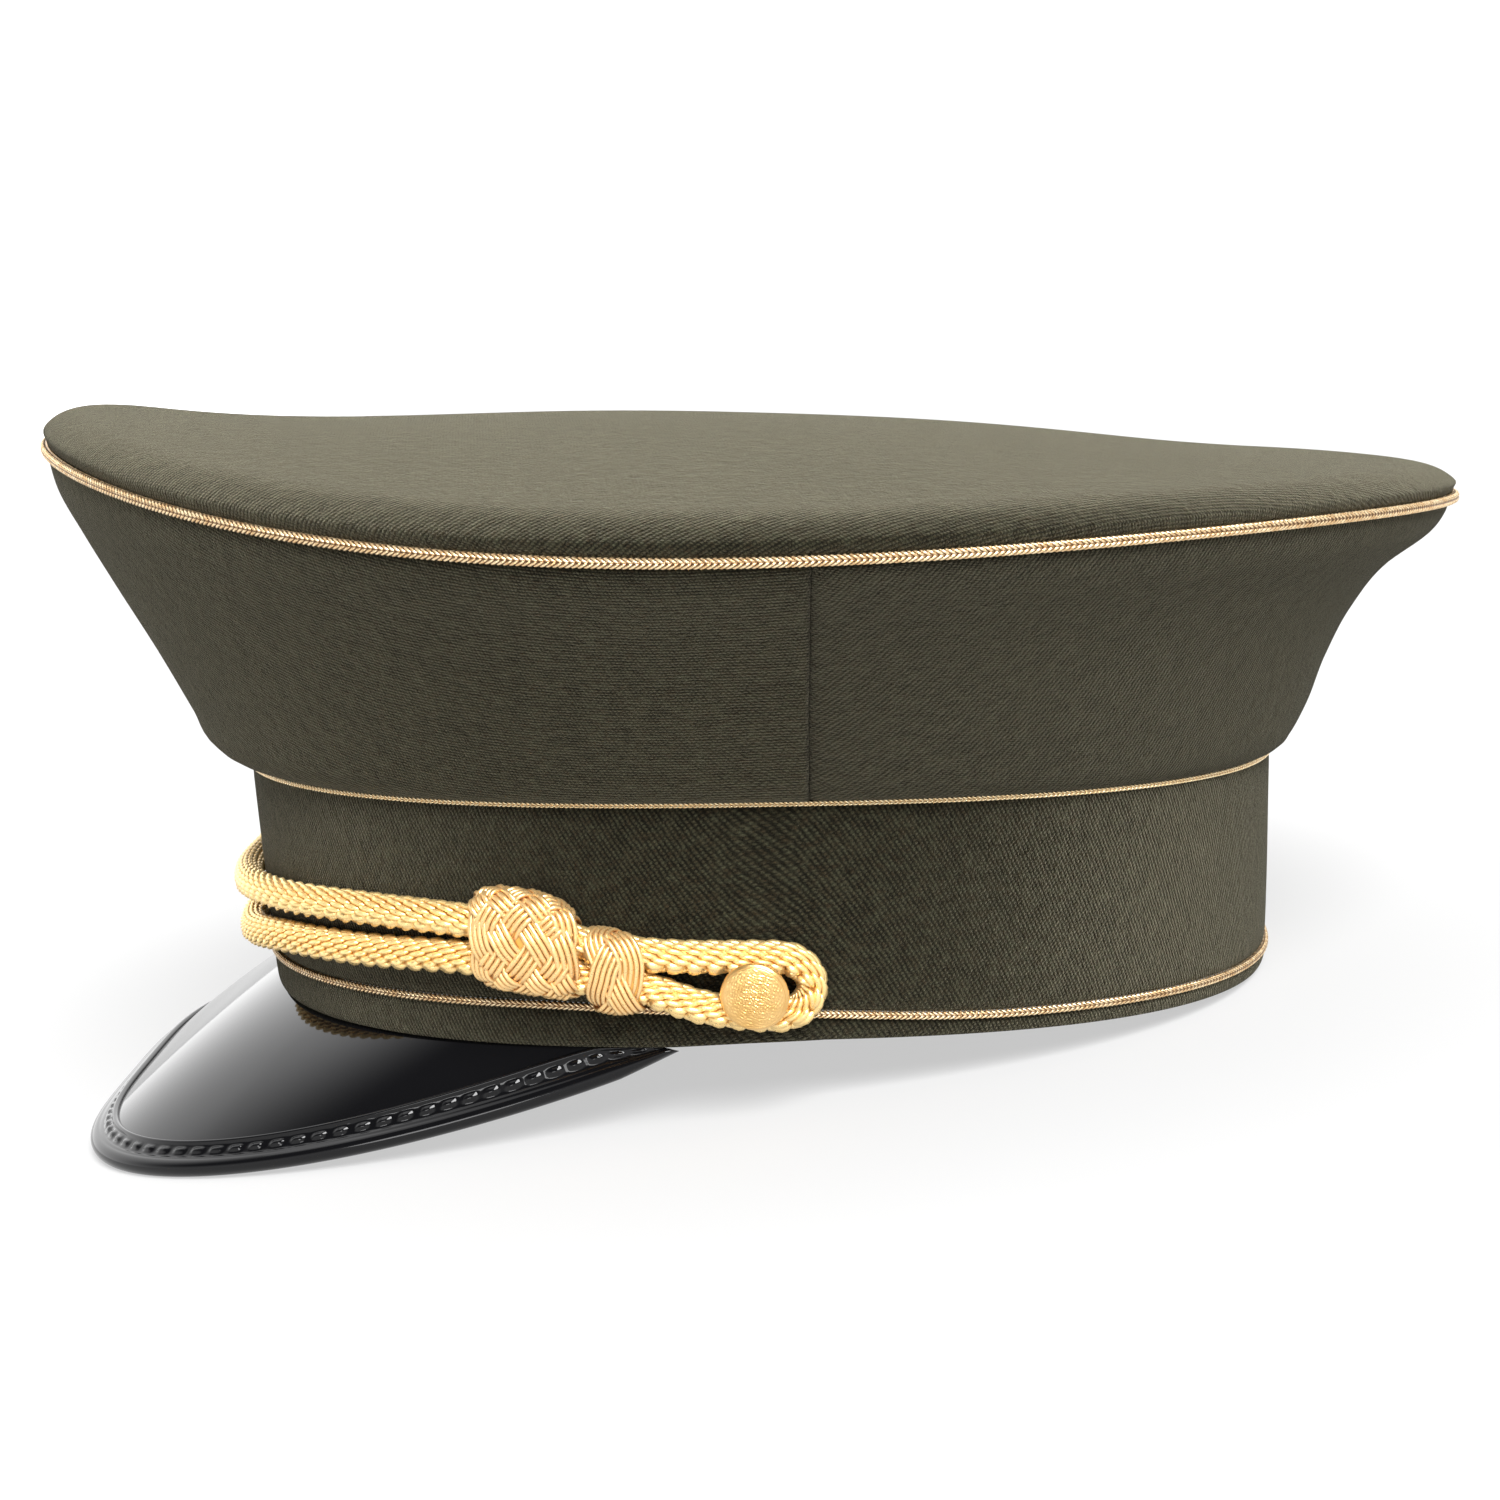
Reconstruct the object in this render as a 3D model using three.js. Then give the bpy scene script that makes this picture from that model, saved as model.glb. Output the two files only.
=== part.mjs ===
// A dress cap with a peak, in millimetres: saddle-shaped crown, stiff head band, patent leather peak with a
// moulded binding, gilt pipings and a doubled gilt chin cord with two Turk's heads and a button on each side.
// The pieces are worked out in the cap's own frame: -X is the front, +Z is up and z = 0 lies 1 mm above the
// rim of the head opening. The whole cap is then leaned back until it rests on its peak and the band's back.
import * as THREE from "three";

// Head band: half length, half width, middle and squareness of its oval, at the bottom and at the top
const BAND_SQUARENESS = 2.6;
const BAND_FOOT = { halfLength: 103.8, halfWidth: 85.5, middleX: 2.2 };
const BAND_TOP = { halfLength: 105.5, halfWidth: 87.3, middleX: 1 };
const BAND_BOTTOM_Z = -1;
const BAND_TOP_Z = 43.6;
const BAND_TOP_RISE = 0.7; // the top edge stands this much higher in front and lower behind
const BAND_WALL = 2.5;

// Pipings: radius of the round cord, and the height of the lower one in front and behind
const TOP_PIPING_RADIUS = 0.55;
const LOWER_PIPING_RADIUS = 0.8;
const LOWER_PIPING_FRONT_Z = 6.1;
const LOWER_PIPING_REAR_Z = 2.6;
const CROWN_PIPING_RADIUS = 1.0;
const GAP = 0.3;

// Crown: half length and half width of the hoop at its edge, and the height of that edge round the cap
const HOOP = { halfLength: 144, halfWidth: 128.3, middleX: 0.2 };
const HOOP_SQUARENESS = 2;
const HOOP_HEIGHTS = { mean: 95.8, frontRise: 6.2, saddle: 5.3, frontKick: 2.2 };
const CROWN_WALL = 2;
const EDGE_ROLL = { front: 7.4, rear: 6, depth: 9 };
const DOME = { height: 8.7, tilt: 0.6, hollow: 7.4, flatness: 1.17 };
const SEAM_X = 9.8; // the two side seams

// How far the crown's side wall has come from the band towards the hoop, at shares of its height
const WALL_ROWS = [
  { up: 0, front: 0, side: 0, rear: 0 },
  { up: 0.03, front: 0.13, side: 0.08, rear: 0.08 },
  { up: 0.07, front: 0.22, side: 0.13, rear: 0.12 },
  { up: 0.17, front: 0.31, side: 0.21, rear: 0.195 },
  { up: 0.38, front: 0.495, side: 0.39, rear: 0.3 },
  { up: 0.58, front: 0.69, side: 0.56, rear: 0.44 },
  { up: 0.75, front: 0.85, side: 0.74, rear: 0.635 },
  { up: 0.87, front: 0.95, side: 0.89, rear: 0.88 },
  { up: 1, front: 1, side: 1, rear: 1 },
];

// Peak: its rim is the middle of the binding's bead. Tip, two ends, half width and squareness in plan, and
// the drop at the ends and at the tip
const PEAK = { tipX: -136.8, endX: -12.1, halfWidth: 83, squareness: 3.8, endDrop: 1.2, tipDrop: 30.2 };
const PEAK_BEND = 0.62; // the rim drops fast beside the band and runs level round the front
const PEAK_ARCH = { height: 1.3, fullWidth: 40, outward: 0.5, upward: 0.85 }; // the leather's bulge
const PEAK_SHEET = 1.6;
const PEAK_SEAT = 2.4; // its inner edge lies this far inside the band's outer face
const PEAK_FAN_X = 6; // the sections of the peak fan out from this point of the cap's length
const PEAK_END_ANGLE = 87;
const BINDING_WIDTH = 5.6;
const BINDING_WALL = 0.7;
const BINDING_BEAD = 1.9; // radius of the rounded bead along the rim
const BINDING_FLOOR = 0.4; // the slot for the leather ends this far inside the middle of the bead

// Chin cord: one closed loop of round cord. Rows run from the middle of the front to the button.
const CORD_RADIUS = 3;
const CORD_ROWS = [
  { angle: 0, upper: 20.2, lower: 10.2, off: 3.3 },
  { angle: 16, upper: 20.9, lower: 10.8, off: 3.3 },
  { angle: 32, upper: 22.6, lower: 14.4, off: 3.3 },
  { angle: 45, upper: 23.4, lower: 15.4, off: 3.6 },
  { angle: 57, upper: 22.9, lower: 16, off: 5.1 },
  { angle: 64, upper: 21.4, lower: 15, off: 5.2 },
  { angle: 70, upper: 18.8, lower: 12.4, off: 5.2 },
  { angle: 76, upper: 17.2, lower: 10.6, off: 5.1 },
  { angle: 81, upper: 16.6, lower: 7.5, off: 4.6 },
  { angle: 86, upper: 16.4, lower: 6, off: 4.2 },
  { angle: 90, upper: 16.2, lower: 5.3, off: 4.1 },
];
const LOOP_END_X = 4.3; // where the cord starts its turn round the button
const CORD_STEPS = { front: 34, turn: 8 };
const LARGE_KNOT = { from: -53.3, to: -31.9, halfHeight: 10, endHalfHeight: 8, halfDepth: 4.8 };
const SMALL_KNOT = { from: -31.2, to: -21.2, halfHeight: 8, endHalfHeight: 7.4, halfDepth: 4.7 };
const BUTTON = { x: -0.9, z: 9.7, radius: 6.3, back: 7.45, rim: 1.2, dome: 1.6, shank: 0.7 };

// Steps of the meshes
const RING_STEPS = 56;
const PEAK_STEPS = 44;
const CORD_SIDES = 8;

const cloth = (name) => new THREE.MeshStandardMaterial({ name, color: 0x3f3c2e, roughness: 0.85 });
const gilt = (name) =>
  new THREE.MeshStandardMaterial({ name, color: 0xd9ab55, roughness: 0.4, metalness: 0.8 });
const patent = (name) => new THREE.MeshStandardMaterial({ name, color: 0x0b0b0c, roughness: 0.08 });

const cap = new THREE.Group();

// A closed body from sections: each is a closed loop of points with the same count. A ring joins the last
// section to the first, and any other body gets flat caps. Points that coincide are one vertex, and empty
// faces are left out.
function addSwept(name, material, sections, ring) {
  const points = [];
  const keys = new Map();
  const index = [];
  const vertex = (p) => {
    const key = [p.x, p.y, p.z].map((value) => Math.round(value * 500)).join(" ");
    if (!keys.has(key)) keys.set(key, points.push(p) - 1);
    return keys.get(key);
  };
  const face = (a, b, c) => {
    if (a !== b && b !== c && c !== a) index.push(a, b, c);
  };
  const rows = sections.map((section) => section.map(vertex));
  const count = rows.length;
  for (let i = 0; i < (ring ? count : count - 1); i++) {
    const here = rows[i];
    const next = rows[(i + 1) % count];
    here.forEach((a, j) => {
      const k = (j + 1) % here.length;
      face(a, next[j], next[k]);
      face(a, next[k], here[k]);
    });
  }
  if (!ring) {
    capFaces(sections[0]).forEach(([a, b, c]) => face(rows[0][a], rows[0][b], rows[0][c]));
    const last = rows[count - 1];
    capFaces(sections[count - 1]).forEach(([a, b, c]) => face(last[a], last[c], last[b]));
  }
  const geometry = new THREE.BufferGeometry().setFromPoints(points);
  geometry.setIndex(signedVolume(points, index) < 0 ? turnedRound(index) : index);
  geometry.computeVertexNormals();
  const mesh = new THREE.Mesh(geometry, material);
  mesh.name = name;
  cap.add(mesh);
}

// Triangles of a flat closed loop of points, in the loop's own order
function capFaces(loop) {
  const normal = new THREE.Vector3();
  loop.forEach((p, i) => normal.add(new THREE.Vector3().crossVectors(p, loop[(i + 1) % loop.length])));
  normal.normalize();
  const along = new THREE.Vector3().subVectors(loop[1], loop[0]);
  along.addScaledVector(normal, -along.dot(normal)).normalize();
  const across = new THREE.Vector3().crossVectors(normal, along);
  const flat = loop.map((p) => new THREE.Vector2(p.dot(along), p.dot(across)));
  return THREE.ShapeUtils.triangulateShape(flat, []).map(([a, b, c]) => {
    const turn = flat[b].clone().sub(flat[a]).cross(flat[c].clone().sub(flat[a]));
    return turn > 0 ? [a, b, c] : [a, c, b];
  });
}

function signedVolume(points, index) {
  let six = 0;
  const across = new THREE.Vector3();
  for (let i = 0; i < index.length; i += 3) {
    six += points[index[i]].dot(across.crossVectors(points[index[i + 1]], points[index[i + 2]]));
  }
  return six / 6;
}

function turnedRound(index) {
  return index.map((_, i) => index[i % 3 === 0 ? i : i % 3 === 1 ? i + 1 : i - 1]);
}

const lerp = THREE.MathUtils.lerp;
const radians = THREE.MathUtils.degToRad;
const steps = (count, from, to) => Array.from({ length: count + 1 }, (_, i) => lerp(from, to, i / count));
const turns = (count) => Array.from({ length: count }, (_, i) => (2 * Math.PI * i) / count);
const signedPower = (value, power) => Math.sign(value) * Math.abs(value) ** power;

// A value between the rows of a table, by straight lines in the column named
function tableValue(rows, key, column, at) {
  const last = rows.length - 2;
  const i = Math.min(last, Math.max(0, rows.findIndex((row, k) => k > last || at < rows[k + 1][key])));
  const share = (at - rows[i][key]) / (rows[i + 1][key] - rows[i][key]);
  return lerp(rows[i][column], rows[i + 1][column], Math.min(1, Math.max(0, share)));
}

// A point of an oval at an angle from the front, and the outward direction there
function ovalPoint(oval, squareness, angle, out = 0) {
  const x = -oval.halfLength * signedPower(Math.cos(angle), 2 / squareness);
  const y = -oval.halfWidth * signedPower(Math.sin(angle), 2 / squareness);
  const nx = signedPower(x / oval.halfLength, squareness - 1) / oval.halfLength;
  const ny = signedPower(y / oval.halfWidth, squareness - 1) / oval.halfWidth;
  const size = Math.hypot(nx, ny);
  return { x: oval.middleX + x + (out * nx) / size, y: y + (out * ny) / size };
}

// The band's outer face at a height, moved outwards by a distance
function bandPoint(angle, z, out = 0) {
  const share = z / BAND_TOP_Z;
  const oval = {
    halfLength: lerp(BAND_FOOT.halfLength, BAND_TOP.halfLength, share),
    halfWidth: lerp(BAND_FOOT.halfWidth, BAND_TOP.halfWidth, share),
    middleX: lerp(BAND_FOOT.middleX, BAND_TOP.middleX, share),
  };
  const { x, y } = ovalPoint(oval, BAND_SQUARENESS, angle, out);
  return new THREE.Vector3(x, y, z);
}

const bandTopZ = (angle) => BAND_TOP_Z + BAND_TOP_RISE * Math.cos(angle);

// The lower piping drops from its front height to its rear height beside the button
function lowerPipingZ(angle) {
  const share = THREE.MathUtils.smoothstep(-Math.cos(angle), -0.35, 0.35);
  return lerp(LOWER_PIPING_FRONT_Z, LOWER_PIPING_REAR_Z, share);
}

function hoopZ(angle) {
  const { mean, frontRise, saddle, frontKick } = HOOP_HEIGHTS;
  return mean + frontRise * Math.cos(angle) + saddle * Math.cos(2 * angle) + frontKick * Math.cos(3 * angle);
}

// The crown's side wall: the band's top oval passes into the hoop as the table of rows says
function wallPoint(angle, up, inward = 0) {
  const lengthwise = Math.cos(angle) ** 2;
  const end = tableValue(WALL_ROWS, "up", Math.cos(angle) > 0 ? "front" : "rear", up);
  const share = lerp(tableValue(WALL_ROWS, "up", "side", up), end, lengthwise);
  const low = ovalPoint(BAND_TOP, BAND_SQUARENESS, angle, -inward);
  const high = ovalPoint(HOOP, HOOP_SQUARENESS, angle, -inward);
  const z = lerp(bandTopZ(angle), hoopZ(angle), up);
  return new THREE.Vector3(lerp(low.x, high.x, share), lerp(low.y, high.y, share), z);
}

// The crown's top: a sheet over the hoop, domed in the middle, that rolls down to the piping at its edge
function topPoint(angle, out, inward = 0) {
  const rim = ovalPoint(HOOP, HOOP_SQUARENESS, angle);
  const radius = Math.hypot(rim.x, rim.y);
  const back = Math.cos(angle);
  const { mean, frontRise, saddle, frontKick } = HOOP_HEIGHTS;
  const waves = frontRise * back * out + saddle * Math.cos(2 * angle) * out ** 2;
  const sheet = mean + waves + frontKick * Math.cos(3 * angle) * out ** 3;
  const fromEdge = Math.min(1, ((1 - out) * radius) / EDGE_ROLL.depth);
  const rolled = Math.sqrt(1 - (1 - fromEdge) ** 2);
  const roll = (EDGE_ROLL.rear + ((EDGE_ROLL.front - EDGE_ROLL.rear) * (1 + back * out)) / 2) * rolled;
  const rearward = -back * out;
  const middle = DOME.height + DOME.tilt * rearward - DOME.hollow * rearward ** 2;
  const dome = middle * (1 - out ** 2) ** DOME.flatness;
  const narrowed = out * (1 - inward / radius);
  return new THREE.Vector3(rim.x * narrowed, rim.y * narrowed, sheet + roll + dome - inward * rolled);
}

// A round cord laid round the cap: the centre line comes from a function of the angle
function addPiping(name, material, radius, centre, sides) {
  const sections = turns(RING_STEPS).map((angle) => {
    const at = centre(angle, 0);
    const out = centre(angle, 1).sub(at).normalize();
    return turns(sides).map((turn) => {
      const p = at.clone().addScaledVector(out, radius * Math.cos(turn));
      return p.setZ(p.z + radius * Math.sin(turn));
    });
  });
  addSwept(name, material, sections, true);
}

// A strip of the band between two pipings. Its outer corners are cut back, so each piping lies in a groove.
function addBandStrip(name, low, high, lowGroove, highGroove) {
  const sections = turns(RING_STEPS).map((angle) => {
    const bottom = low(angle);
    const top = high(angle);
    const corners = [];
    if (lowGroove) {
      corners.push([bottom + GAP / 2, -lowGroove], [bottom + lowGroove, -lowGroove], [bottom + lowGroove, 0]);
    } else {
      corners.push([bottom, 0]);
    }
    corners.push([top - highGroove, 0], [top - highGroove, -highGroove], [top - GAP / 2, -highGroove]);
    corners.push([top - GAP / 2, -BAND_WALL], [lowGroove ? bottom + GAP / 2 : bottom, -BAND_WALL]);
    return corners.map(([z, out]) => bandPoint(angle, z, out));
  });
  addSwept(name, cloth(name), sections, true);
}

function addBand() {
  const lowerGroove = LOWER_PIPING_RADIUS + GAP;
  const topGroove = TOP_PIPING_RADIUS + GAP;
  addBandStrip("band_foot", () => BAND_BOTTOM_Z, lowerPipingZ, 0, lowerGroove);
  addBandStrip("band", lowerPipingZ, bandTopZ, lowerGroove, topGroove);
  const lower = (angle, out) => bandPoint(angle, lowerPipingZ(angle), out);
  addPiping("band_lower_piping", gilt("lower piping"), LOWER_PIPING_RADIUS, lower, 6);
  const top = (angle, out) => bandPoint(angle, bandTopZ(angle), out);
  addPiping("band_top_piping", gilt("top piping"), TOP_PIPING_RADIUS, top, 6);
}

// One half of the crown's side wall. It runs between the two side seams, which stand upright at SEAM_X.
function addCrownPanel(name, front) {
  const ups = WALL_ROWS.map((row) => row.up);
  const heightAt = (angle) => hoopZ(angle) - bandTopZ(angle);
  const seamAngle = (up) => {
    const halfLength = lerp(BAND_TOP.halfLength, HOOP.halfLength, up);
    const squareness = lerp(BAND_SQUARENESS, HOOP_SQUARENESS, up);
    const x = SEAM_X + (front ? -GAP / 2 : GAP / 2) - lerp(BAND_TOP.middleX, HOOP.middleX, up);
    return Math.acos(-(Math.abs(x / halfLength) ** (squareness / 2)));
  };
  const half = RING_STEPS / 2;
  const lowGroove = TOP_PIPING_RADIUS + GAP;
  const highGroove = CROWN_PIPING_RADIUS + GAP;
  const sections = steps(half, -1, 1).map((share) => {
    const angleAt = (up) => (front ? share * seamAngle(up) : Math.PI + share * (Math.PI - seamAngle(up)));
    const column = (up, inward, margins) => {
      const angle = angleAt(up);
      const [low, high] = margins.map((margin) => margin / heightAt(angle));
      return wallPoint(angle, lerp(low, 1 - high, up), inward);
    };
    const lip = (above, inward) => {
      const { x, y } = ovalPoint(BAND_TOP, BAND_SQUARENESS, angleAt(0), -inward);
      return new THREE.Vector3(x, y, bandTopZ(angleAt(0)) + above);
    };
    const outer = ups.map((up) => column(up, 0, [lowGroove, highGroove]));
    const innerUps = ups.filter((_, i) => i > 0 && i % 2 === 0).reverse();
    const inner = innerUps.map((up) => column(up, CROWN_WALL, [GAP / 2, GAP / 2]));
    const foot = [lip(lowGroove + CROWN_WALL, CROWN_WALL), lip(GAP / 2, CROWN_WALL)];
    return [...outer, ...inner, ...foot, lip(GAP / 2, lowGroove), lip(lowGroove, lowGroove)];
  });
  addSwept(name, cloth(name), sections, false);
}

function addCrownTop() {
  const outs = [0, 0.35, 0.65, 0.85, 0.925, 0.97, 1];
  const lift = new THREE.Vector3(0, 0, GAP / 2);
  const outerLift = new THREE.Vector3(0, 0, CROWN_PIPING_RADIUS + GAP);
  const sections = turns(RING_STEPS).map((angle) => {
    const outer = outs.map((out) => topPoint(angle, out).add(out === 1 ? outerLift : lift));
    const inner = outs.map((out) => topPoint(angle, out, CROWN_WALL).add(lift)).reverse();
    return [...outer, ...inner];
  });
  addSwept("crown_top", cloth("crown_top"), sections, true);
  const hoop = (angle, out) => {
    const { x, y } = ovalPoint(HOOP, HOOP_SQUARENESS, angle, out);
    return new THREE.Vector3(x, y, hoopZ(angle));
  };
  addPiping("crown_edge_piping", gilt("crown piping"), CROWN_PIPING_RADIUS, hoop, 6);
}

// The peak's rim at a plan angle from the front, measured at the middle of the line between its ends
function rimPoint(angle) {
  const length = PEAK.endX - PEAK.tipX;
  const lengthwise = Math.abs(Math.cos(angle) / length) ** PEAK.squareness;
  const sideways = Math.abs(Math.sin(angle) / PEAK.halfWidth) ** PEAK.squareness;
  const radius = (lengthwise + sideways) ** (-1 / PEAK.squareness);
  const reach = (radius * Math.cos(angle)) / length;
  const drop = lerp(PEAK.endDrop, PEAK.tipDrop, reach + PEAK_BEND * reach * (1 - reach));
  return new THREE.Vector3(PEAK.endX - length * reach, -radius * Math.sin(angle), -drop);
}

// One section of the peak: the rim, the seat under the band, the width between them, and the leather's own
// directions at the rim, outwards and up
function peakSection(angle) {
  const rim = rimPoint(angle);
  const seatAngle = bandAngle(Math.atan2(-rim.y, PEAK_FAN_X - rim.x));
  const seat = bandPoint(seatAngle, BAND_BOTTOM_Z - GAP - PEAK_SHEET / 2, -PEAK_SEAT);
  const width = seat.distanceTo(rim);
  const level = new THREE.Vector3(rim.x - seat.x, rim.y - seat.y, 0).normalize();
  const lift = PEAK_ARCH.height * Math.min(1, width / PEAK_ARCH.fullWidth);
  const bulge = level.multiplyScalar(PEAK_ARCH.outward).setZ(PEAK_ARCH.upward);
  const middle = (out) => seat.clone().lerp(rim, out).addScaledVector(bulge, lift * 4 * out * (1 - out));
  const outward = rim.clone().sub(middle(1 - BINDING_WIDTH / 2 / width)).normalize();
  const along = rimPoint(angle + 0.01).sub(rimPoint(angle - 0.01)).normalize();
  const up = new THREE.Vector3().crossVectors(along, outward).normalize();
  if (up.z < 0) up.negate();
  return { rim, width, middle, outward, up };
}

const PEAK_ANGLES = steps(PEAK_STEPS, -radians(PEAK_END_ANGLE), radians(PEAK_END_ANGLE));

// The channel of the binding gets shorter and flatter at its ends, where it comes out from under the band
const channelLength = (width) => Math.min(1, (width - 0.5) / BINDING_WIDTH);
const channelHeight = (rim) => THREE.MathUtils.clamp((BAND_BOTTOM_Z - GAP - rim.z) / BINDING_BEAD, 0.2, 1);

function addPeak() {
  const outs = [0, 0.22, 0.45, 0.7, 0.85, 1];
  const sections = PEAK_ANGLES.slice(3, -3).map((angle) => {
    const { width, middle, up } = peakSection(angle);
    const edge = 1 - ((BINDING_FLOOR + GAP) * channelLength(width)) / width;
    const sheet = outs.map((out) => middle(out * edge));
    const above = sheet.map((p) => p.clone().addScaledVector(up, PEAK_SHEET / 2));
    const below = sheet.map((p) => p.clone().addScaledVector(up, -PEAK_SHEET / 2));
    return [...above, ...below.reverse()];
  });
  addSwept("peak", patent("peak"), sections, false);
}

// The binding is a channel folded over the edge of the peak, with a rounded bead outside
function addBinding() {
  const slot = PEAK_SHEET / 2 + GAP;
  const flange = slot + BINDING_WALL;
  const bead = steps(4, Math.PI / 2, -Math.PI / 2).map((turn) => [
    BINDING_BEAD * Math.cos(turn),
    BINDING_BEAD * Math.sin(turn),
  ]);
  const profile = [
    [-BINDING_WIDTH, slot],
    [-BINDING_WIDTH, flange],
    ...bead,
    [-BINDING_WIDTH, -flange],
    [-BINDING_WIDTH, -slot],
    [-BINDING_FLOOR, -slot],
    [-BINDING_FLOOR, slot],
  ];
  const sections = PEAK_ANGLES.map((angle) => {
    const { rim, width, middle, outward, up } = peakSection(angle);
    const length = channelLength(width);
    const height = channelHeight(rim);
    return profile.map(([across, rise]) => {
      const inward = -across * length;
      const at = inward > 0 ? middle(1 - inward / width) : rim.clone().addScaledVector(outward, -inward);
      return at.addScaledVector(up, rise * height);
    });
  });
  addSwept("peak_binding", patent("peak_binding"), sections, false);
}

// Where the doubled cord lies at an angle from the front, on its upper or lower run
function cordPoint(angle, run) {
  const degrees = Math.abs(THREE.MathUtils.radToDeg(angle));
  const z = tableValue(CORD_ROWS, "angle", run, degrees);
  return onBandAt(angle, z, tableValue(CORD_ROWS, "angle", "off", degrees));
}

// The point of the band at a plan angle, which is measured from the front at the middle of the oval
function onBandAt(planAngle, z, out) {
  return bandPoint(bandAngle(planAngle), z, out);
}

function bandAngle(planAngle) {
  const cosine = signedPower(Math.cos(planAngle) / BAND_FOOT.halfLength, BAND_SQUARENESS / 2);
  const sine = signedPower(Math.sin(planAngle) / BAND_FOOT.halfWidth, BAND_SQUARENESS / 2);
  return Math.atan2(sine, cosine);
}

const planAngleOfX = (x) => Math.PI / 2 + Math.atan((x - BAND_FOOT.middleX) / BAND_FOOT.halfWidth);

// The closed centre line: round the front above, round the right button, back below and round the left button
function cordPath() {
  const last = CORD_ROWS[CORD_ROWS.length - 1];
  const radius = (last.upper - last.lower) / 2;
  const middle = (last.upper + last.lower) / 2;
  const end = planAngleOfX(0);
  const front = (run, from, to) => steps(CORD_STEPS.front, from, to).map((angle) => cordPoint(angle, run));
  const turn = (side, from) =>
    steps(CORD_STEPS.turn, 0, 1).map((share) => {
      const around = from * (90 - 180 * share);
      const x = LOOP_END_X + radius * Math.cos(radians(around));
      return onBandAt(side * planAngleOfX(x), middle + radius * Math.sin(radians(around)), last.off);
    });
  return [...front("upper", -end, end), ...turn(1, 1), ...front("lower", end, -end), ...turn(-1, -1)];
}

function addChinCord() {
  const path = cordPath();
  const line = new THREE.CatmullRomCurve3(path, true);
  const sections = path.map((at, i) => {
    const along = line.getTangent(i / path.length);
    const fromMiddle = at.x - BAND_FOOT.middleX;
    const out = new THREE.Vector3(fromMiddle / BAND_FOOT.halfLength ** 2, at.y / BAND_FOOT.halfWidth ** 2, 0);
    out.addScaledVector(along, -out.dot(along)).normalize();
    const across = new THREE.Vector3().crossVectors(along, out);
    return turns(CORD_SIDES).map((turn) =>
      at
        .clone()
        .addScaledVector(out, CORD_RADIUS * Math.cos(turn))
        .addScaledVector(across, CORD_RADIUS * Math.sin(turn)),
    );
  });
  addSwept("chin_cord", gilt("chin_cord"), sections, true);
}

// A Turk's head is a barrel with a tunnel for both runs of the cord. Side is 1 on the left, -1 on the right.
function addKnot(name, knot, side) {
  const stations = steps(5, knot.from, knot.to);
  const reach = CORD_RADIUS + GAP;
  const tunnelRadius = reach / Math.cos(radians(22.5));
  const frames = stations.map((x, i) => {
    const angle = side * planAngleOfX(x);
    const upper = cordPoint(angle, "upper");
    const lower = cordPoint(angle, "lower");
    const centre = upper.clone().add(lower).multiplyScalar(0.5);
    const share = Math.sin((Math.PI * i) / (stations.length - 1));
    return { centre, spread: (upper.z - lower.z) / 2, share, angle };
  });
  const loops = frames.map(({ centre, spread, share, angle }) => {
    const out = onBandAt(angle, centre.z, 10).sub(onBandAt(angle, centre.z, 0)).normalize();
    const place = (a, b) => centre.clone().addScaledVector(out, a).add(new THREE.Vector3(0, 0, b));
    const tall = lerp(knot.endHalfHeight, knot.halfHeight, share);
    const deep = lerp(knot.halfDepth - 0.4, knot.halfDepth, share);
    const outer = turns(10).map((turn) => {
      const at = turn + Math.PI / 10;
      return place(deep * signedPower(Math.cos(at), 0.8), tall * signedPower(Math.sin(at), 0.8));
    });
    const arc = (from, height) =>
      steps(4, from, from + Math.PI).map((at) =>
        place(tunnelRadius * Math.cos(at), height + tunnelRadius * Math.sin(at)),
      );
    return { outer, tunnel: [...arc(0, spread), ...arc(Math.PI, -spread)] };
  });
  const sections = [...loops.map(({ outer }) => outer), ...loops.map(({ tunnel }) => tunnel).reverse()];
  addSwept(name, gilt(name), sections, true);
}

function addButton(name, side) {
  const { x, z, radius, back, rim, dome, shank } = BUTTON;
  const profile = [
    [0, GAP],
    [shank, GAP],
    [shank, back],
    [radius - 0.6, back],
    [radius, back + 0.5],
    [radius, back + rim],
    [radius - 0.7, back + rim + 0.6],
    [radius * 0.55, back + rim + dome * 0.85],
    [0, back + rim + dome],
  ].map(([r, height]) => new THREE.Vector2(r, height));
  const lathe = new THREE.LatheGeometry(profile, 16);
  const at = onBandAt(side * planAngleOfX(x), z, 0);
  const outward = onBandAt(side * planAngleOfX(x), z, 10).sub(at).normalize();
  lathe.applyQuaternion(new THREE.Quaternion().setFromUnitVectors(new THREE.Vector3(0, 1, 0), outward));
  lathe.translate(at.x, at.y, at.z);
  const mesh = new THREE.Mesh(lathe, gilt(name));
  mesh.name = name;
  cap.add(mesh);
}

addBand();
addCrownPanel("crown_front_panel", true);
addCrownPanel("crown_rear_panel", false);
addCrownTop();
addPeak();
addBinding();
addChinCord();
for (const [word, side] of [["left", 1], ["right", -1]]) {
  addKnot(`large_knot_${word}`, LARGE_KNOT, side);
  addKnot(`small_knot_${word}`, SMALL_KNOT, side);
  addButton(`button_${word}`, side);
}

// Lean back until the peak's binding and the back of the band stand on one level, and put the middle of the
// underside at the origin
const heel = bandPoint(Math.PI, BAND_BOTTOM_Z);
cap.updateMatrixWorld(true);
const binding = cap.getObjectByName("peak_binding").geometry.getAttribute("position");
let lean = 0;
for (let i = 0; i < binding.count; i++) {
  lean = Math.max(lean, Math.atan2(heel.z - binding.getZ(i), heel.x - binding.getX(i)));
}
cap.rotation.y = lean;
const standing = new THREE.Box3().setFromObject(cap, true);
cap.position.set(-(standing.min.x + standing.max.x) / 2, 0, -standing.min.z);

export default cap;
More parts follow.
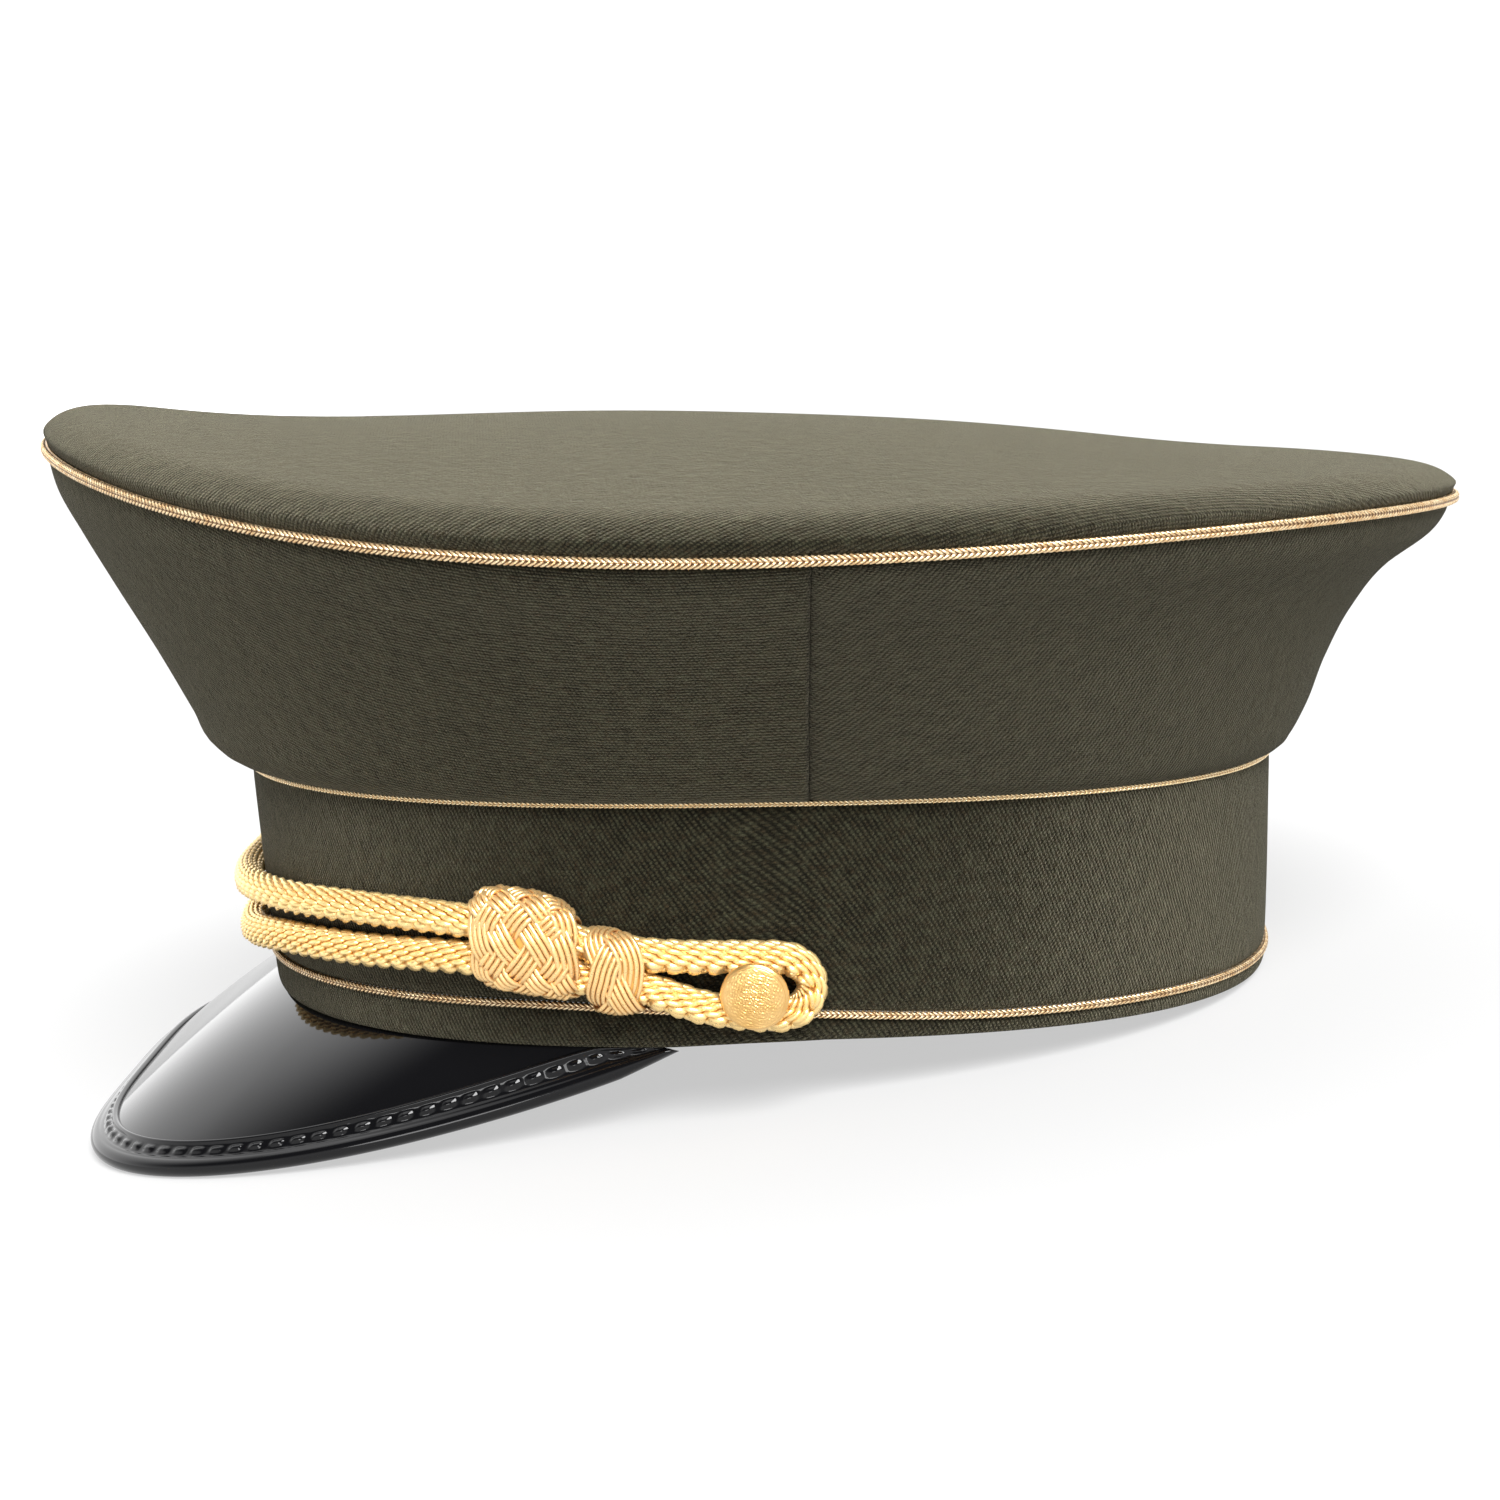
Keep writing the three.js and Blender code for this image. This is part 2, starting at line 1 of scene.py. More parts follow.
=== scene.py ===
# A dress cap with a peak: twill cloth, gilt pipings, a plaited chin cord with two Turk's heads and a button
# on each side, and a patent leather peak with a moulded binding.
# Shapes are worked out in millimetres in the cap's own frame: -X is the front, +Z is up and z = 0 lies 1 mm
# above the rim of the head opening. standing() then leans the cap back as it stands and gives metres.
import math

import bpy
import numpy as np
from mathutils import Matrix


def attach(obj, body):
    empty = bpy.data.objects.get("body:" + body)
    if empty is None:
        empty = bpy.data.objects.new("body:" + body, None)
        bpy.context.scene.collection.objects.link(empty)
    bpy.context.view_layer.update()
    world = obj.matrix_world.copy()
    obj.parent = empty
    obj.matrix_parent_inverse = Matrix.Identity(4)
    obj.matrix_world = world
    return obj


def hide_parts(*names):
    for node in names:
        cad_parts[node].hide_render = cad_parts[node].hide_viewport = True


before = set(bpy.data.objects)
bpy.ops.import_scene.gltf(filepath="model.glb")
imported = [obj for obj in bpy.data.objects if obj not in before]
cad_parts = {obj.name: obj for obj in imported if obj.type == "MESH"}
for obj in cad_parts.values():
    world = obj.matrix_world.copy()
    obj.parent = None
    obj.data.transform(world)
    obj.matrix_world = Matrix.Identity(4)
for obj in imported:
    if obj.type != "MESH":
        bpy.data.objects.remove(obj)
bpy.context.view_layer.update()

# How the cap stands: its lean, and where the frame's origin comes to lie
LEAN = 0.12871191509172641
STAND_X = -7.240689823287738
STAND_Z = 14.596079054901075

# Head band
BAND_SQUARENESS = 2.6
BAND_FOOT = (103.8, 85.5, 2.2)  # half length, half width, middle
BAND_TOP = (105.5, 87.3, 1.0)
BAND_BOTTOM_Z = -1.0
BAND_TOP_Z = 43.6
BAND_TOP_RISE = 0.7
BAND_WALL = 2.5
BAND_MEAN_RADIUS = 97.0
TOP_PIPING_RADIUS = 0.55
LOWER_PIPING_RADIUS = 0.8
LOWER_PIPING_FRONT_Z = 6.1
LOWER_PIPING_REAR_Z = 2.6
CROWN_PIPING_RADIUS = 1.0
GAP = 0.3

# Crown
HOOP = (144.0, 128.3, 0.2)
HOOP_SQUARENESS = 2
HOOP_HEIGHTS = {"mean": 95.8, "front_rise": 6.2, "saddle": 5.3, "front_kick": 2.2}
CROWN_WALL = 2.0
EDGE_ROLL = {"front": 7.4, "rear": 6.0, "depth": 9.0}
DOME = {"height": 8.7, "tilt": 0.6, "hollow": 7.4, "flatness": 1.17}
SEAM_X = 9.8
PANEL_HALF_LENGTH = 190.0  # turns a share of half a panel into millimetres
TOP_SWELL = 0.8
EDGE_FULLNESS = 2.25
# Share of the way from band to hoop, at shares of the wall's height
WALL_UP = np.array([0, 0.03, 0.07, 0.17, 0.38, 0.58, 0.75, 0.87, 1])
WALL_FRONT = np.array([0, 0.13, 0.22, 0.31, 0.495, 0.69, 0.85, 0.95, 1])
WALL_SIDE = np.array([0, 0.08, 0.13, 0.21, 0.39, 0.56, 0.74, 0.89, 1])
WALL_REAR = np.array([0, 0.08, 0.12, 0.195, 0.3, 0.44, 0.635, 0.88, 1])

# Depth and reach of the tucks where cloth meets a piping or a seam
BAND_TUCK = (0.5, 0.7)
PANEL_LOW_TUCK = (0.7, 0.8)
PANEL_HIGH_TUCK = (0.7, 0.9)
FRONT_SEAM_RIDGE = (0.55, 2.6)
REAR_SEAM_TUCK = (0.5, 1.6)
SEAM_GROOVE = (1.4, 0.42)

# Pipings: columns of strands, and hollows and rise of the strands as shares of the radius
PIPING_COLUMNS = 4
PIPING_HOLLOW = 0.72
PIPING_RISE = 0.36

# Peak and binding
PEAK = {"tip_x": -136.8, "end_x": -12.1, "half_width": 83.0, "squareness": 3.8,
        "end_drop": 1.2, "tip_drop": 30.2}
PEAK_BEND = 0.62
PEAK_ARCH = {"height": 1.3, "full_width": 40.0, "outward": 0.5, "upward": 0.85}
PEAK_SHEET = 1.6
PEAK_SEAT = 2.4
PEAK_FAN_X = 6.0
PEAK_END_ANGLE = math.radians(87)
BINDING_WIDTH = 5.6
BINDING_BEAD = 1.9
BINDING_FLOOR = 0.4
STITCH_PITCH = 4.4
STITCH_LINE = 3.2
STITCH_RISE = 0.5

# Chin cord: height of the upper and lower run and distance off the band, by angle from the front
CORD_ANGLE = np.array([0, 16, 32, 45, 57, 64, 70, 76, 81, 86, 90.0])
CORD_UPPER = np.array([20.2, 20.9, 22.6, 23.4, 22.9, 21.4, 18.8, 17.2, 16.6, 16.4, 16.2])
CORD_LOWER = np.array([10.2, 10.8, 14.4, 15.4, 16, 15, 12.4, 10.6, 7.5, 6, 5.3])
CORD_OFF = np.array([3.3, 3.3, 3.3, 3.6, 5.1, 5.2, 5.2, 5.1, 4.6, 4.2, 4.1])
LOOP_END_X = 4.3
PLAIT_COLUMNS = 16
PLAIT_PITCH = 3.65
PLAIT_SLANT = math.radians(9)
SPINE_FORWARD = 0.85
PLAIT_STAGGER = 0.31
PLAIT_CORE_RADIUS = 2.35
PLAIT_HOLLOW_RADIUS = 2.05
PLAIT_RELIEF = 0.75
GRAIN = {"half_length": 2.1, "half_width": 0.54, "half_height": 0.68, "ring": 2.36, "tuck": 0.4, "tilt": 0.22}
LARGE_KNOT = {"from": -53.3, "to": -31.9, "shift": (0.4, 0.7), "tall": 9.0, "deep": 4.5, "end_drop": 0.24,
              "leads": 8, "bights": 7, "lanes": 4, "thread_radius": 0.55, "weave": 0.5,
              "swing": 0.88, "start": 0.5}
SMALL_KNOT = {"from": -31.2, "to": -21.2, "shift": (0.9, -1.1), "tall": 7.2, "deep": 4.5, "end_drop": 0.2,
              "leads": 3, "bights": 4, "lanes": 5, "thread_radius": 0.5, "weave": 0.5,
              "swing": 0.64, "start": 0.2}
BUTTON = {"x": -0.9, "z": 9.7, "radius": 6.3, "back": 7.45, "rim": 1.2, "dome": 1.6,
          "edge": 0.62, "shank": 0.7, "pebble": 0.034, "tilt": (-0.13, 0, -0.08)}

# Camera: millimetres, degrees, and a focal length in pixels of the square frame
CAMERA = {"target": (-1.249, 0, 39.672), "distance": 540, "elevation": 9.01, "yaw": -0.125, "roll": -1.191,
          "focal": 2518.293, "frame": 1500, "sensor": 36}


def standing(points):
    """Cap frame in millimetres to the standing cap in metres: a turn about Y by the lean, then a shift."""
    x, y, z = np.moveaxis(np.asarray(points, float), -1, 0)
    cosine, sine = math.cos(LEAN), math.sin(LEAN)
    return joined(x * cosine + z * sine + STAND_X, y, z * cosine - x * sine + STAND_Z) / 1000


def link(thing):
    """Puts an object into the scene."""
    bpy.context.scene.collection.objects.link(thing)


def joined(*axes):
    """Coordinates of any matching shapes joined into points."""
    return np.stack(np.broadcast_arrays(*axes), axis=-1)


def lerp(a, b, share):
    """The value a share of the way from a to b."""
    return a + (b - a) * share


def signed_power(value, power):
    """A power of the value's size, with the value's sign."""
    return np.sign(value) * np.abs(value) ** power


def unit(vectors):
    """Vectors divided by their lengths."""
    return vectors / np.maximum(np.linalg.norm(vectors, axis=-1, keepdims=True), 1e-12)


def through(xs, ys, at):
    """A smooth curve through a table: cubic pieces whose end slopes are the table's own slopes."""
    slope = np.gradient(ys, xs)
    i = np.clip(np.searchsorted(xs, at) - 1, 0, len(xs) - 2)
    width = xs[i + 1] - xs[i]
    t = np.clip((at - xs[i]) / width, 0, 1)
    start = (1 + 2 * t) * (1 - t) ** 2 * ys[i] + t * (1 - t) ** 2 * width * slope[i]
    end = t**2 * (3 - 2 * t) * ys[i + 1] + t**2 * (t - 1) * width * slope[i + 1]
    return start + end


# Curves and surfaces of the cap


def oval(size, squareness, angle, out=0.0):
    """Superellipse |x/a|^n + |y/b|^n = 1 at an angle from the front, moved outwards along its normal."""
    length, width, middle = size
    x = -length * signed_power(np.cos(angle), 2 / squareness)
    y = -width * signed_power(np.sin(angle), 2 / squareness)
    nx = signed_power(x / length, squareness - 1) / length
    ny = signed_power(y / width, squareness - 1) / width
    size_n = np.maximum(np.hypot(nx, ny), 1e-12)
    return middle + x + out * nx / size_n, y + out * ny / size_n


def band_point(angle, z, out=0.0):
    """The band's outer face: the oval of the foot passes in straight lines into the oval of the top."""
    share = z / BAND_TOP_Z
    size = [lerp(low, high, share) for low, high in zip(BAND_FOOT, BAND_TOP)]
    return joined(*oval(size, BAND_SQUARENESS, angle, out), z)


def band_top_z(angle):
    """Height of the band's upper edge: a mean plus one cosine wave."""
    return BAND_TOP_Z + BAND_TOP_RISE * np.cos(angle)


def lower_piping_z(angle):
    """Front height to rear height by a smooth step beside the button."""
    t = np.clip((0.35 - np.cos(angle)) / 0.7, 0, 1)
    return lerp(LOWER_PIPING_FRONT_Z, LOWER_PIPING_REAR_Z, t * t * (3 - 2 * t))


def hoop_z(angle):
    """Height of the crown's edge: a mean plus waves of one, two and three periods round the cap."""
    waves = HOOP_HEIGHTS["front_rise"] * np.cos(angle) + HOOP_HEIGHTS["saddle"] * np.cos(2 * angle)
    return HOOP_HEIGHTS["mean"] + waves + HOOP_HEIGHTS["front_kick"] * np.cos(3 * angle)


def wall_point(angle, up, out):
    """The crown's side wall: band oval to hoop oval by tabled shares, which are mixed from side to front or
    rear by the cosine squared of the angle."""
    end = np.where(np.cos(angle) > 0, through(WALL_UP, WALL_FRONT, up), through(WALL_UP, WALL_REAR, up))
    share = lerp(through(WALL_UP, WALL_SIDE, up), end, np.cos(angle) ** 2)
    low_x, low_y = oval(BAND_TOP, BAND_SQUARENESS, angle, out)
    high_x, high_y = oval(HOOP, HOOP_SQUARENESS, angle, out)
    z = lerp(band_top_z(angle), hoop_z(angle), up)
    return joined(lerp(low_x, high_x, share), lerp(low_y, high_y, share), z)


def top_point(angle, out, inward=0.0):
    """The crown's top: the hoop's waves, fading to the middle, plus a dome, plus a roll at the edge that is a
    quarter of a superellipse."""
    rim_x, rim_y = oval(HOOP, HOOP_SQUARENESS, angle)
    radius = np.hypot(rim_x, rim_y)
    back = np.cos(angle)
    waves = HOOP_HEIGHTS["front_rise"] * back * out + HOOP_HEIGHTS["saddle"] * np.cos(2 * angle) * out**2
    sheet = HOOP_HEIGHTS["mean"] + waves + HOOP_HEIGHTS["front_kick"] * np.cos(3 * angle) * out**3
    from_edge = np.minimum(1, (1 - out) * radius / EDGE_ROLL["depth"])
    rolled = (1 - (1 - from_edge) ** EDGE_FULLNESS) ** (1 / EDGE_FULLNESS)
    roll = lerp(EDGE_ROLL["rear"], EDGE_ROLL["front"], (1 + back * out) / 2) * rolled
    rearward = -back * out
    middle = DOME["height"] + DOME["tilt"] * rearward - DOME["hollow"] * rearward**2
    dome = middle * (1 - out**2) ** DOME["flatness"]
    narrowed = out * (1 - inward / radius)
    return joined(rim_x * narrowed, rim_y * narrowed, sheet + roll + dome - inward * rolled)


def band_angle(plan_angle):
    """The oval's own angle for a plan angle measured at the middle of the band."""
    cosine = signed_power(np.cos(plan_angle) / BAND_FOOT[0], BAND_SQUARENESS / 2)
    sine = signed_power(np.sin(plan_angle) / BAND_FOOT[1], BAND_SQUARENESS / 2)
    return np.arctan2(sine, cosine)


def plan_angle_of_x(x):
    """The plan angle of a point of the cap's side: a right angle plus the arc tangent of x by half width."""
    return math.pi / 2 + np.arctan((x - BAND_FOOT[2]) / BAND_FOOT[1])


def on_band(plan_angle, z, out):
    """The band's outer face by plan angle."""
    return band_point(band_angle(plan_angle), z, out)


def cord_rows(plan_angle):
    """Heights of both runs of the chin cord and their distance off the band, at plan angles."""
    degrees = np.abs(np.degrees(plan_angle))
    return [through(CORD_ANGLE, rows, degrees) for rows in (CORD_UPPER, CORD_LOWER, CORD_OFF)]


# Meshes


def corner_faces(rows, columns, count):
    """Quads of a grid of points as corner indices, repeated for each copy of the grid."""
    index = np.arange(rows * columns).reshape(rows, columns)
    corners = [index[:-1, :-1], index[1:, :-1], index[1:, 1:], index[:-1, 1:]]
    quads = np.stack(corners, axis=-1).reshape(1, -1, 4)
    return (quads + np.arange(count).reshape(-1, 1, 1) * rows * columns).reshape(-1, 4)


def add_piece(name, parts, material, replaces):
    """One mesh from grids of points in the cap frame. A part is (points, uv, relief). Points that coincide
    are one vertex, so seams and poles close; a quad with a side of no length becomes a triangle. Each part is
    turned to enclose a positive volume. The UV holds millimetres of cloth, or strands and columns. Relief
    becomes a point attribute, which the cloth and gilt thread materials turn into painted shade where it is
    low."""
    vertices, corner_uv, reliefs, faces = [], [], [], []
    offset = 0
    for points, uv, relief in parts:
        rows, columns = points.shape[-3:-1]
        place = standing(points).reshape(-1, 3)
        quads = corner_faces(rows, columns, len(place) // (rows * columns))
        a, b, c, d = (place[quads[:, i]] for i in range(4))
        six_volumes = np.einsum("ij,ij->", a, np.cross(b, c)) + np.einsum("ij,ij->", a, np.cross(c, d))
        if six_volumes < 0:
            quads = quads[:, ::-1]
        vertices.append(place)
        corner_uv.append(np.broadcast_to(uv, points.shape[:-1] + (2,)).reshape(-1, 2))
        reliefs.append(np.broadcast_to(relief, points.shape[:-1]).reshape(-1))
        faces.append(quads + offset)
        offset += len(place)
    vertices, corner_uv, reliefs, faces = map(np.concatenate, (vertices, corner_uv, reliefs, faces))
    steps = np.round((vertices + 0.5) * 1e6).astype(np.int64)
    key = (steps[:, 0] * 2_000_000 + steps[:, 1]) * 2_000_000 + steps[:, 2]
    _, first, welded = np.unique(key, return_index=True, return_inverse=True)
    corners = welded.reshape(-1)[faces]
    repeated = corners == np.roll(corners, -1, axis=1)
    whole = repeated.sum(axis=1) == 0
    pinched = repeated.sum(axis=1) == 1
    keep = ~repeated[pinched]
    triangles = corners[pinched][keep].reshape(-1, 3)
    triangle_source = faces[pinched][keep].reshape(-1, 3)
    mesh = bpy.data.meshes.new(name)
    mesh.from_pydata(vertices[first].tolist(), [], corners[whole].tolist() + triangles.tolist())
    source = np.concatenate([faces[whole].reshape(-1), triangle_source.reshape(-1)])
    layer = mesh.uv_layers.new(name="cloth_mm")
    layer.data.foreach_set("uv", corner_uv[source].reshape(-1))
    depth = mesh.attributes.new("relief", "FLOAT", "POINT")
    depth.data.foreach_set("value", reliefs[first])
    mesh.polygons.foreach_set("use_smooth", np.ones(len(mesh.polygons), bool))
    mesh.update()
    mesh.materials.append(material)
    piece = bpy.data.objects.new(name, mesh)
    link(piece)
    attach(piece, "root")
    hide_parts(*replaces)


def wall_skin(outer, inner, ring):
    """A closed wall: over the outer grid and back along the inner one. The ends of an open wall close on the
    line midway between the two."""
    loop = np.concatenate([outer, inner[:, ::-1], outer[:, :1]], axis=1)
    if ring:
        return np.concatenate([loop, loop[:1]], axis=0)
    middle = (outer + inner) / 2
    ends = np.concatenate([middle, middle[:, ::-1], middle[:, :1]], axis=1)
    return np.concatenate([ends[:1], loop, ends[-1:]], axis=0)


def arc_lengths(points):
    """Distance along a line of points from its first point."""
    return np.concatenate([[0], np.cumsum(np.linalg.norm(np.diff(points, axis=0), axis=-1))])


def resampled(points, count):
    """Points at even distances along a closed line, the first one repeated at the end."""
    closed = np.concatenate([points, points[:1]])
    length = arc_lengths(closed)
    at = np.linspace(0, length[-1], count + 1)
    return joined(*(np.interp(at, length, closed[:, i]) for i in range(3))), length[-1]


def smoothed_ring(values, reach):
    """A closed row of values blurred with a bell curve whose width is reach samples."""
    shift = np.arange(-3 * reach, 3 * reach + 1)
    weight = np.exp(-0.5 * (shift / reach) ** 2)
    total = sum(w * np.roll(values, k, axis=0) for k, w in zip(shift, weight))
    return total / weight.sum()


def fading(distance, depth, reach):
    """A tuck or a ridge that fades exponentially with distance from its line."""
    return depth * np.exp(-distance / reach)


def soft_waves(a, b, periods, seed):
    """Slow waves between -1 and 1: a few sines of both parameters with seeded phases."""
    random = np.random.default_rng(seed)
    total = 0
    for rate_a, rate_b in periods:
        total = total + np.sin(rate_a * a + rate_b * b + random.uniform(0, 2 * math.pi))
    return total / len(periods)


def cone_cloth(angle, up, middle_angle, low_radius, spread, height):
    """Where a point of the wall lies on its flat cut, a ring sector whose radius grows with height."""
    radius = low_radius / spread + up * height
    turn = (angle - middle_angle) * spread
    return joined(radius * np.sin(turn), radius * np.cos(turn))


# Materials


class Nodes:
    """A material's node tree, with short calls for its nodes."""

    def __init__(self, name):
        self.material = bpy.data.materials.new(name)
        self.material.use_nodes = True
        self.tree = self.material.node_tree
        self.shader = self.tree.nodes["Principled BSDF"]

    def put(self, socket, value):
        if isinstance(value, bpy.types.NodeSocket):
            self.tree.links.new(value, socket)
        else:
            socket.default_value = value

    def add(self, kind, inputs=(), output=0, **settings):
        node = self.tree.nodes.new(kind)
        for key, value in settings.items():
            setattr(node, key, value)
        for key, value in dict(inputs).items():
            self.put(node.inputs[key], value)
        return node.outputs[output]

    def math(self, operation, a, b=0.0):
        return self.add("ShaderNodeMath", {0: a, 1: b}, operation=operation)

    def times(self, a, b):
        return self.math("MULTIPLY", a, b)

    def plus(self, a, b):
        return self.math("ADD", a, b)

    def place(self):
        return self.add("ShaderNodeTexCoord", output="Object")

    def split(self, vector):
        node = self.tree.nodes.new("ShaderNodeSeparateXYZ")
        self.put(node.inputs[0], vector)
        return node.outputs

    def noise(self, vector, scale, detail=2.0, roughness=0.5):
        inputs = {"Vector": vector, "Scale": scale, "Detail": detail, "Roughness": roughness}
        return self.add("ShaderNodeTexNoise", inputs)

    def between(self, value, low, high, to_low=0.0, to_high=1.0):
        inputs = {"Value": value, "From Min": low, "From Max": high, "To Min": to_low, "To Max": to_high}
        return self.add("ShaderNodeMapRange", inputs)

    def mix(self, share, a, b):
        node = self.tree.nodes.new("ShaderNodeMix")
        node.data_type = "RGBA"
        self.put(node.inputs["Factor"], share)
        self.put(node.inputs[6], a)
        self.put(node.inputs[7], b)
        return node.outputs[2]

    def bump(self, height, strength, distance):
        inputs = {"Height": height, "Strength": strength, "Distance": distance}
        return self.add("ShaderNodeBump", inputs)

    def finish(self, **values):
        for key, value in values.items():
            self.put(self.shader.inputs[key.replace("_", " ")], value)
        return self.material


WALE_PITCH = 0.76
YARN_PITCH = 0.62
WOOL = {
    # dark: painted shade in the weave's hollows
    "dark": (0.0034, 0.0032, 0.0018, 1),
    "green": (0.064, 0.064, 0.038, 1),
    "brown": (0.042, 0.031, 0.017, 1),
    "pale": (0.16, 0.15, 0.105, 1),
    "middle": (0.023, 0.021, 0.0125, 1),
    # seam: near black, painted shade in the groove of a seam
    "seam": (0.0012, 0.0011, 0.0008, 1),
}


def twill(name, wale_angle, relief=1.0):
    """Woollen twill: slanting wales of short yarns on the cloth's own millimetres, broken up by loose fibre,
    with lighter and browner wool, a fine mottle and a slow cloudiness. Where the weave and the mottle run low
    the
    cloth turns near black: painted shade in the weave's hollows, mixed with a random mottle of the wool.
    Where the attribute relief falls to nothing, in a seam, the cloth is nearly black: painted shade in the
    seam's groove."""
    n = Nodes(name)
    cloth = n.add("ShaderNodeUVMap", uv_map="cloth_mm")
    place = n.place()
    wander = n.noise(cloth, 0.09, 2.0)
    uneven = n.noise(cloth, 0.9, 2.0, 0.6)
    turned = n.add("ShaderNodeMapping", {"Vector": cloth, "Rotation": (0, 0, -math.radians(wale_angle))})
    along, across, _ = n.split(turned)
    shifted = n.plus(n.times(wander, 6.0), n.times(uneven, 3.0))
    wale = n.plus(n.times(across, 2 * math.pi / WALE_PITCH), shifted)
    ridge = n.between(n.math("SINE", wale), -0.8, 0.9)
    yarn = n.plus(n.times(along, 2 * math.pi / YARN_PITCH), n.times(wale, 0.5))
    nub = n.between(n.math("SINE", yarn), -0.9, 0.6, 0.3, 1.0)
    fibre = n.between(n.noise(cloth, 2.6, 3.0, 0.75), 0.3, 0.72)
    weave = n.plus(n.times(ridge, nub), n.times(fibre, 0.9))
    mottle = n.noise(place, 330.0, 5.0, 0.82)
    patch = n.noise(cloth, 0.62, 4.0, 0.7)
    cloud = n.noise(place, 24.0, 3.0, 0.6)
    light = n.mix(n.between(patch, 0.4, 0.62), WOOL["green"], WOOL["brown"])
    depth = n.plus(weave, n.times(mottle, 1.9))
    # Near black where the weave and the mottle run low: painted shade in the weave's hollows, mixed with a
    # random mottle of the wool.
    colour = n.mix(n.between(depth, 1.25, 2.45), WOOL["dark"], light)
    clouded = n.mix(n.between(cloud, 0.3, 0.75, 0.0, 0.3), colour, WOOL["middle"])
    fleck = n.between(n.noise(cloth, 1.3, 3.0, 0.8), 0.66, 0.78, 0.0, 0.6)
    flecked = n.mix(fleck, clouded, WOOL["pale"])
    # The attribute relief falls to nothing in a seam, where the colour turns to painted shade.
    clear_of_seam_shade = n.add("ShaderNodeAttribute", output="Fac", attribute_name="relief")
    loose = n.times(n.noise(cloth, 0.8, 3.0, 0.65), 2.0)
    nap = n.plus(loose, n.times(mottle, 6.0))
    fuzz = n.plus(weave, nap)
    return n.finish(
        Base_Color=n.mix(clear_of_seam_shade, WOOL["seam"], flecked),
        Roughness=0.85,
        Normal=n.bump(fuzz, 0.9, 0.0003 * relief),
        Sheen_Weight=0.25,
        Sheen_Roughness=0.27,
        Sheen_Tint=(1.0, 0.92, 0.66, 1),
        Specular_IOR_Level=0.06,
    )


def gilt_thread(name, bright, deep, roughness):
    """Gilt metal thread: pale on the crowns of the strands and deep orange in the hollows between them, by
    the attribute relief: the deep orange is painted shade.
    """
    n = Nodes(name)
    relief = n.add("ShaderNodeAttribute", output="Fac", attribute_name="relief")
    place = n.place()
    grain = n.noise(place, 1900.0, 2.0, 0.6)
    patch = n.noise(place, 120.0, 2.0, 0.5)
    # lit: the relief as a share of painted light; low relief takes the deep colour as painted shade.
    lit = n.between(relief, 0.0, 0.55)
    colour = n.mix(lit, deep, bright)
    worn = n.mix(n.between(patch, 0.5, 0.8, 0.0, 0.25), colour, (0.75, 0.46, 0.16, 1))
    bump = n.bump(grain, 0.25, 0.0002)
    return n.finish(
        Base_Color=worn,
        Metallic=0.72,
        Roughness=n.between(grain, 0.3, 0.7, roughness - 0.06, roughness + 0.1),
        Normal=bump,
    )


def plaited_gilt(name, slant, deep, low, high):
    """A herringbone of gilt strands. The UV counts strands along the cord and columns round it. In each
    column the strands lean by slant, left and right in turn, and sink towards their edges. Where they sink
    the colour turns to deep, painted shade in the hollows."""
    n = Nodes(name)
    count = n.add("ShaderNodeUVMap", uv_map="cloth_mm")
    place = n.place()
    strands, columns, _ = n.split(count)
    column = n.math("FLOOR", columns)
    inside = n.math("SUBTRACT", n.math("FRACT", columns), 0.5)
    side = n.math("SUBTRACT", 1.0, n.times(n.math("MODULO", column, 2.0), 2.0))
    lean = n.times(n.times(side, inside), slant)
    phase = n.times(n.plus(strands, lean), math.pi)
    strand = n.math("ABSOLUTE", n.math("SINE", phase))
    off_middle = n.math("ABSOLUTE", n.times(inside, 1.9))
    middle = n.math("SUBTRACT", 1.0, n.math("POWER", off_middle, 3.0))
    # relief: high on the strands and low in the hollows, where the deep colour is painted shade.
    relief = n.times(strand, middle)
    grain = n.noise(place, 1500.0, 2.0, 0.6)
    tint = n.noise(place, 700.0, 1.0, 0.5)
    crown = n.mix(n.between(tint, 0.35, 0.65), low, high)
    return n.finish(
        Base_Color=n.mix(n.between(relief, 0.12, 0.62), deep, crown),
        Metallic=0.8,
        Roughness=n.between(grain, 0.3, 0.7, 0.18, 0.36),
        Normal=n.bump(relief, 0.7, 0.0003),
    )


def pebbled_gilt():
    """Gilt brass that shines softly, with patches of two tones and a very fine grain."""
    n = Nodes("pebbled_gilt")
    place = n.place()
    fine = n.noise(place, 2600.0, 2.0, 0.6)
    patch = n.noise(place, 300.0, 2.0, 0.5)
    colour = n.mix(n.between(patch, 0.35, 0.7), (0.85, 0.55, 0.22, 1), (0.75, 0.45, 0.15, 1))
    return n.finish(Base_Color=colour, Metallic=0.9, Roughness=0.3, Normal=n.bump(fine, 0.2, 0.0001))


def patent_leather(name, gloss):
    """Black lacquered leather: a mirror coat over a faint leather grain."""
    n = Nodes(name)
    place = n.place()
    swell = n.noise(place, 34.0, 1.0, 0.4)
    speck = n.noise(place, 900.0, 2.0, 0.5)
    height = n.plus(swell, n.times(speck, 0.003))
    return n.finish(
        Base_Color=(0.0025, 0.0025, 0.003, 1),
        Roughness=n.between(speck, 0.3, 0.7, 0.04, 0.07),
        Specular_IOR_Level=gloss,
        Normal=n.bump(height, 0.1, 0.0005),
    )


def plain_floor():
    """A pale table lit from below, for a white ground without hard shadows."""
    n = Nodes("pale_floor")
    return n.finish(
        Base_Color=(0.2, 0.2, 0.2, 1),
        Roughness=0.9,
        Specular_IOR_Level=0.0,
        Emission_Color=(1, 1, 1, 1),
        Emission_Strength=0.56,
    )


# Camera: the photograph's place and angle, carried along as the cap leans back


def turned(columns, place=(0, 0, 0)):
    """The matrix whose columns are three axes and a place."""
    matrix = np.eye(4)
    matrix[:3] = np.array([*columns, place]).T
    return Matrix(matrix.tolist())


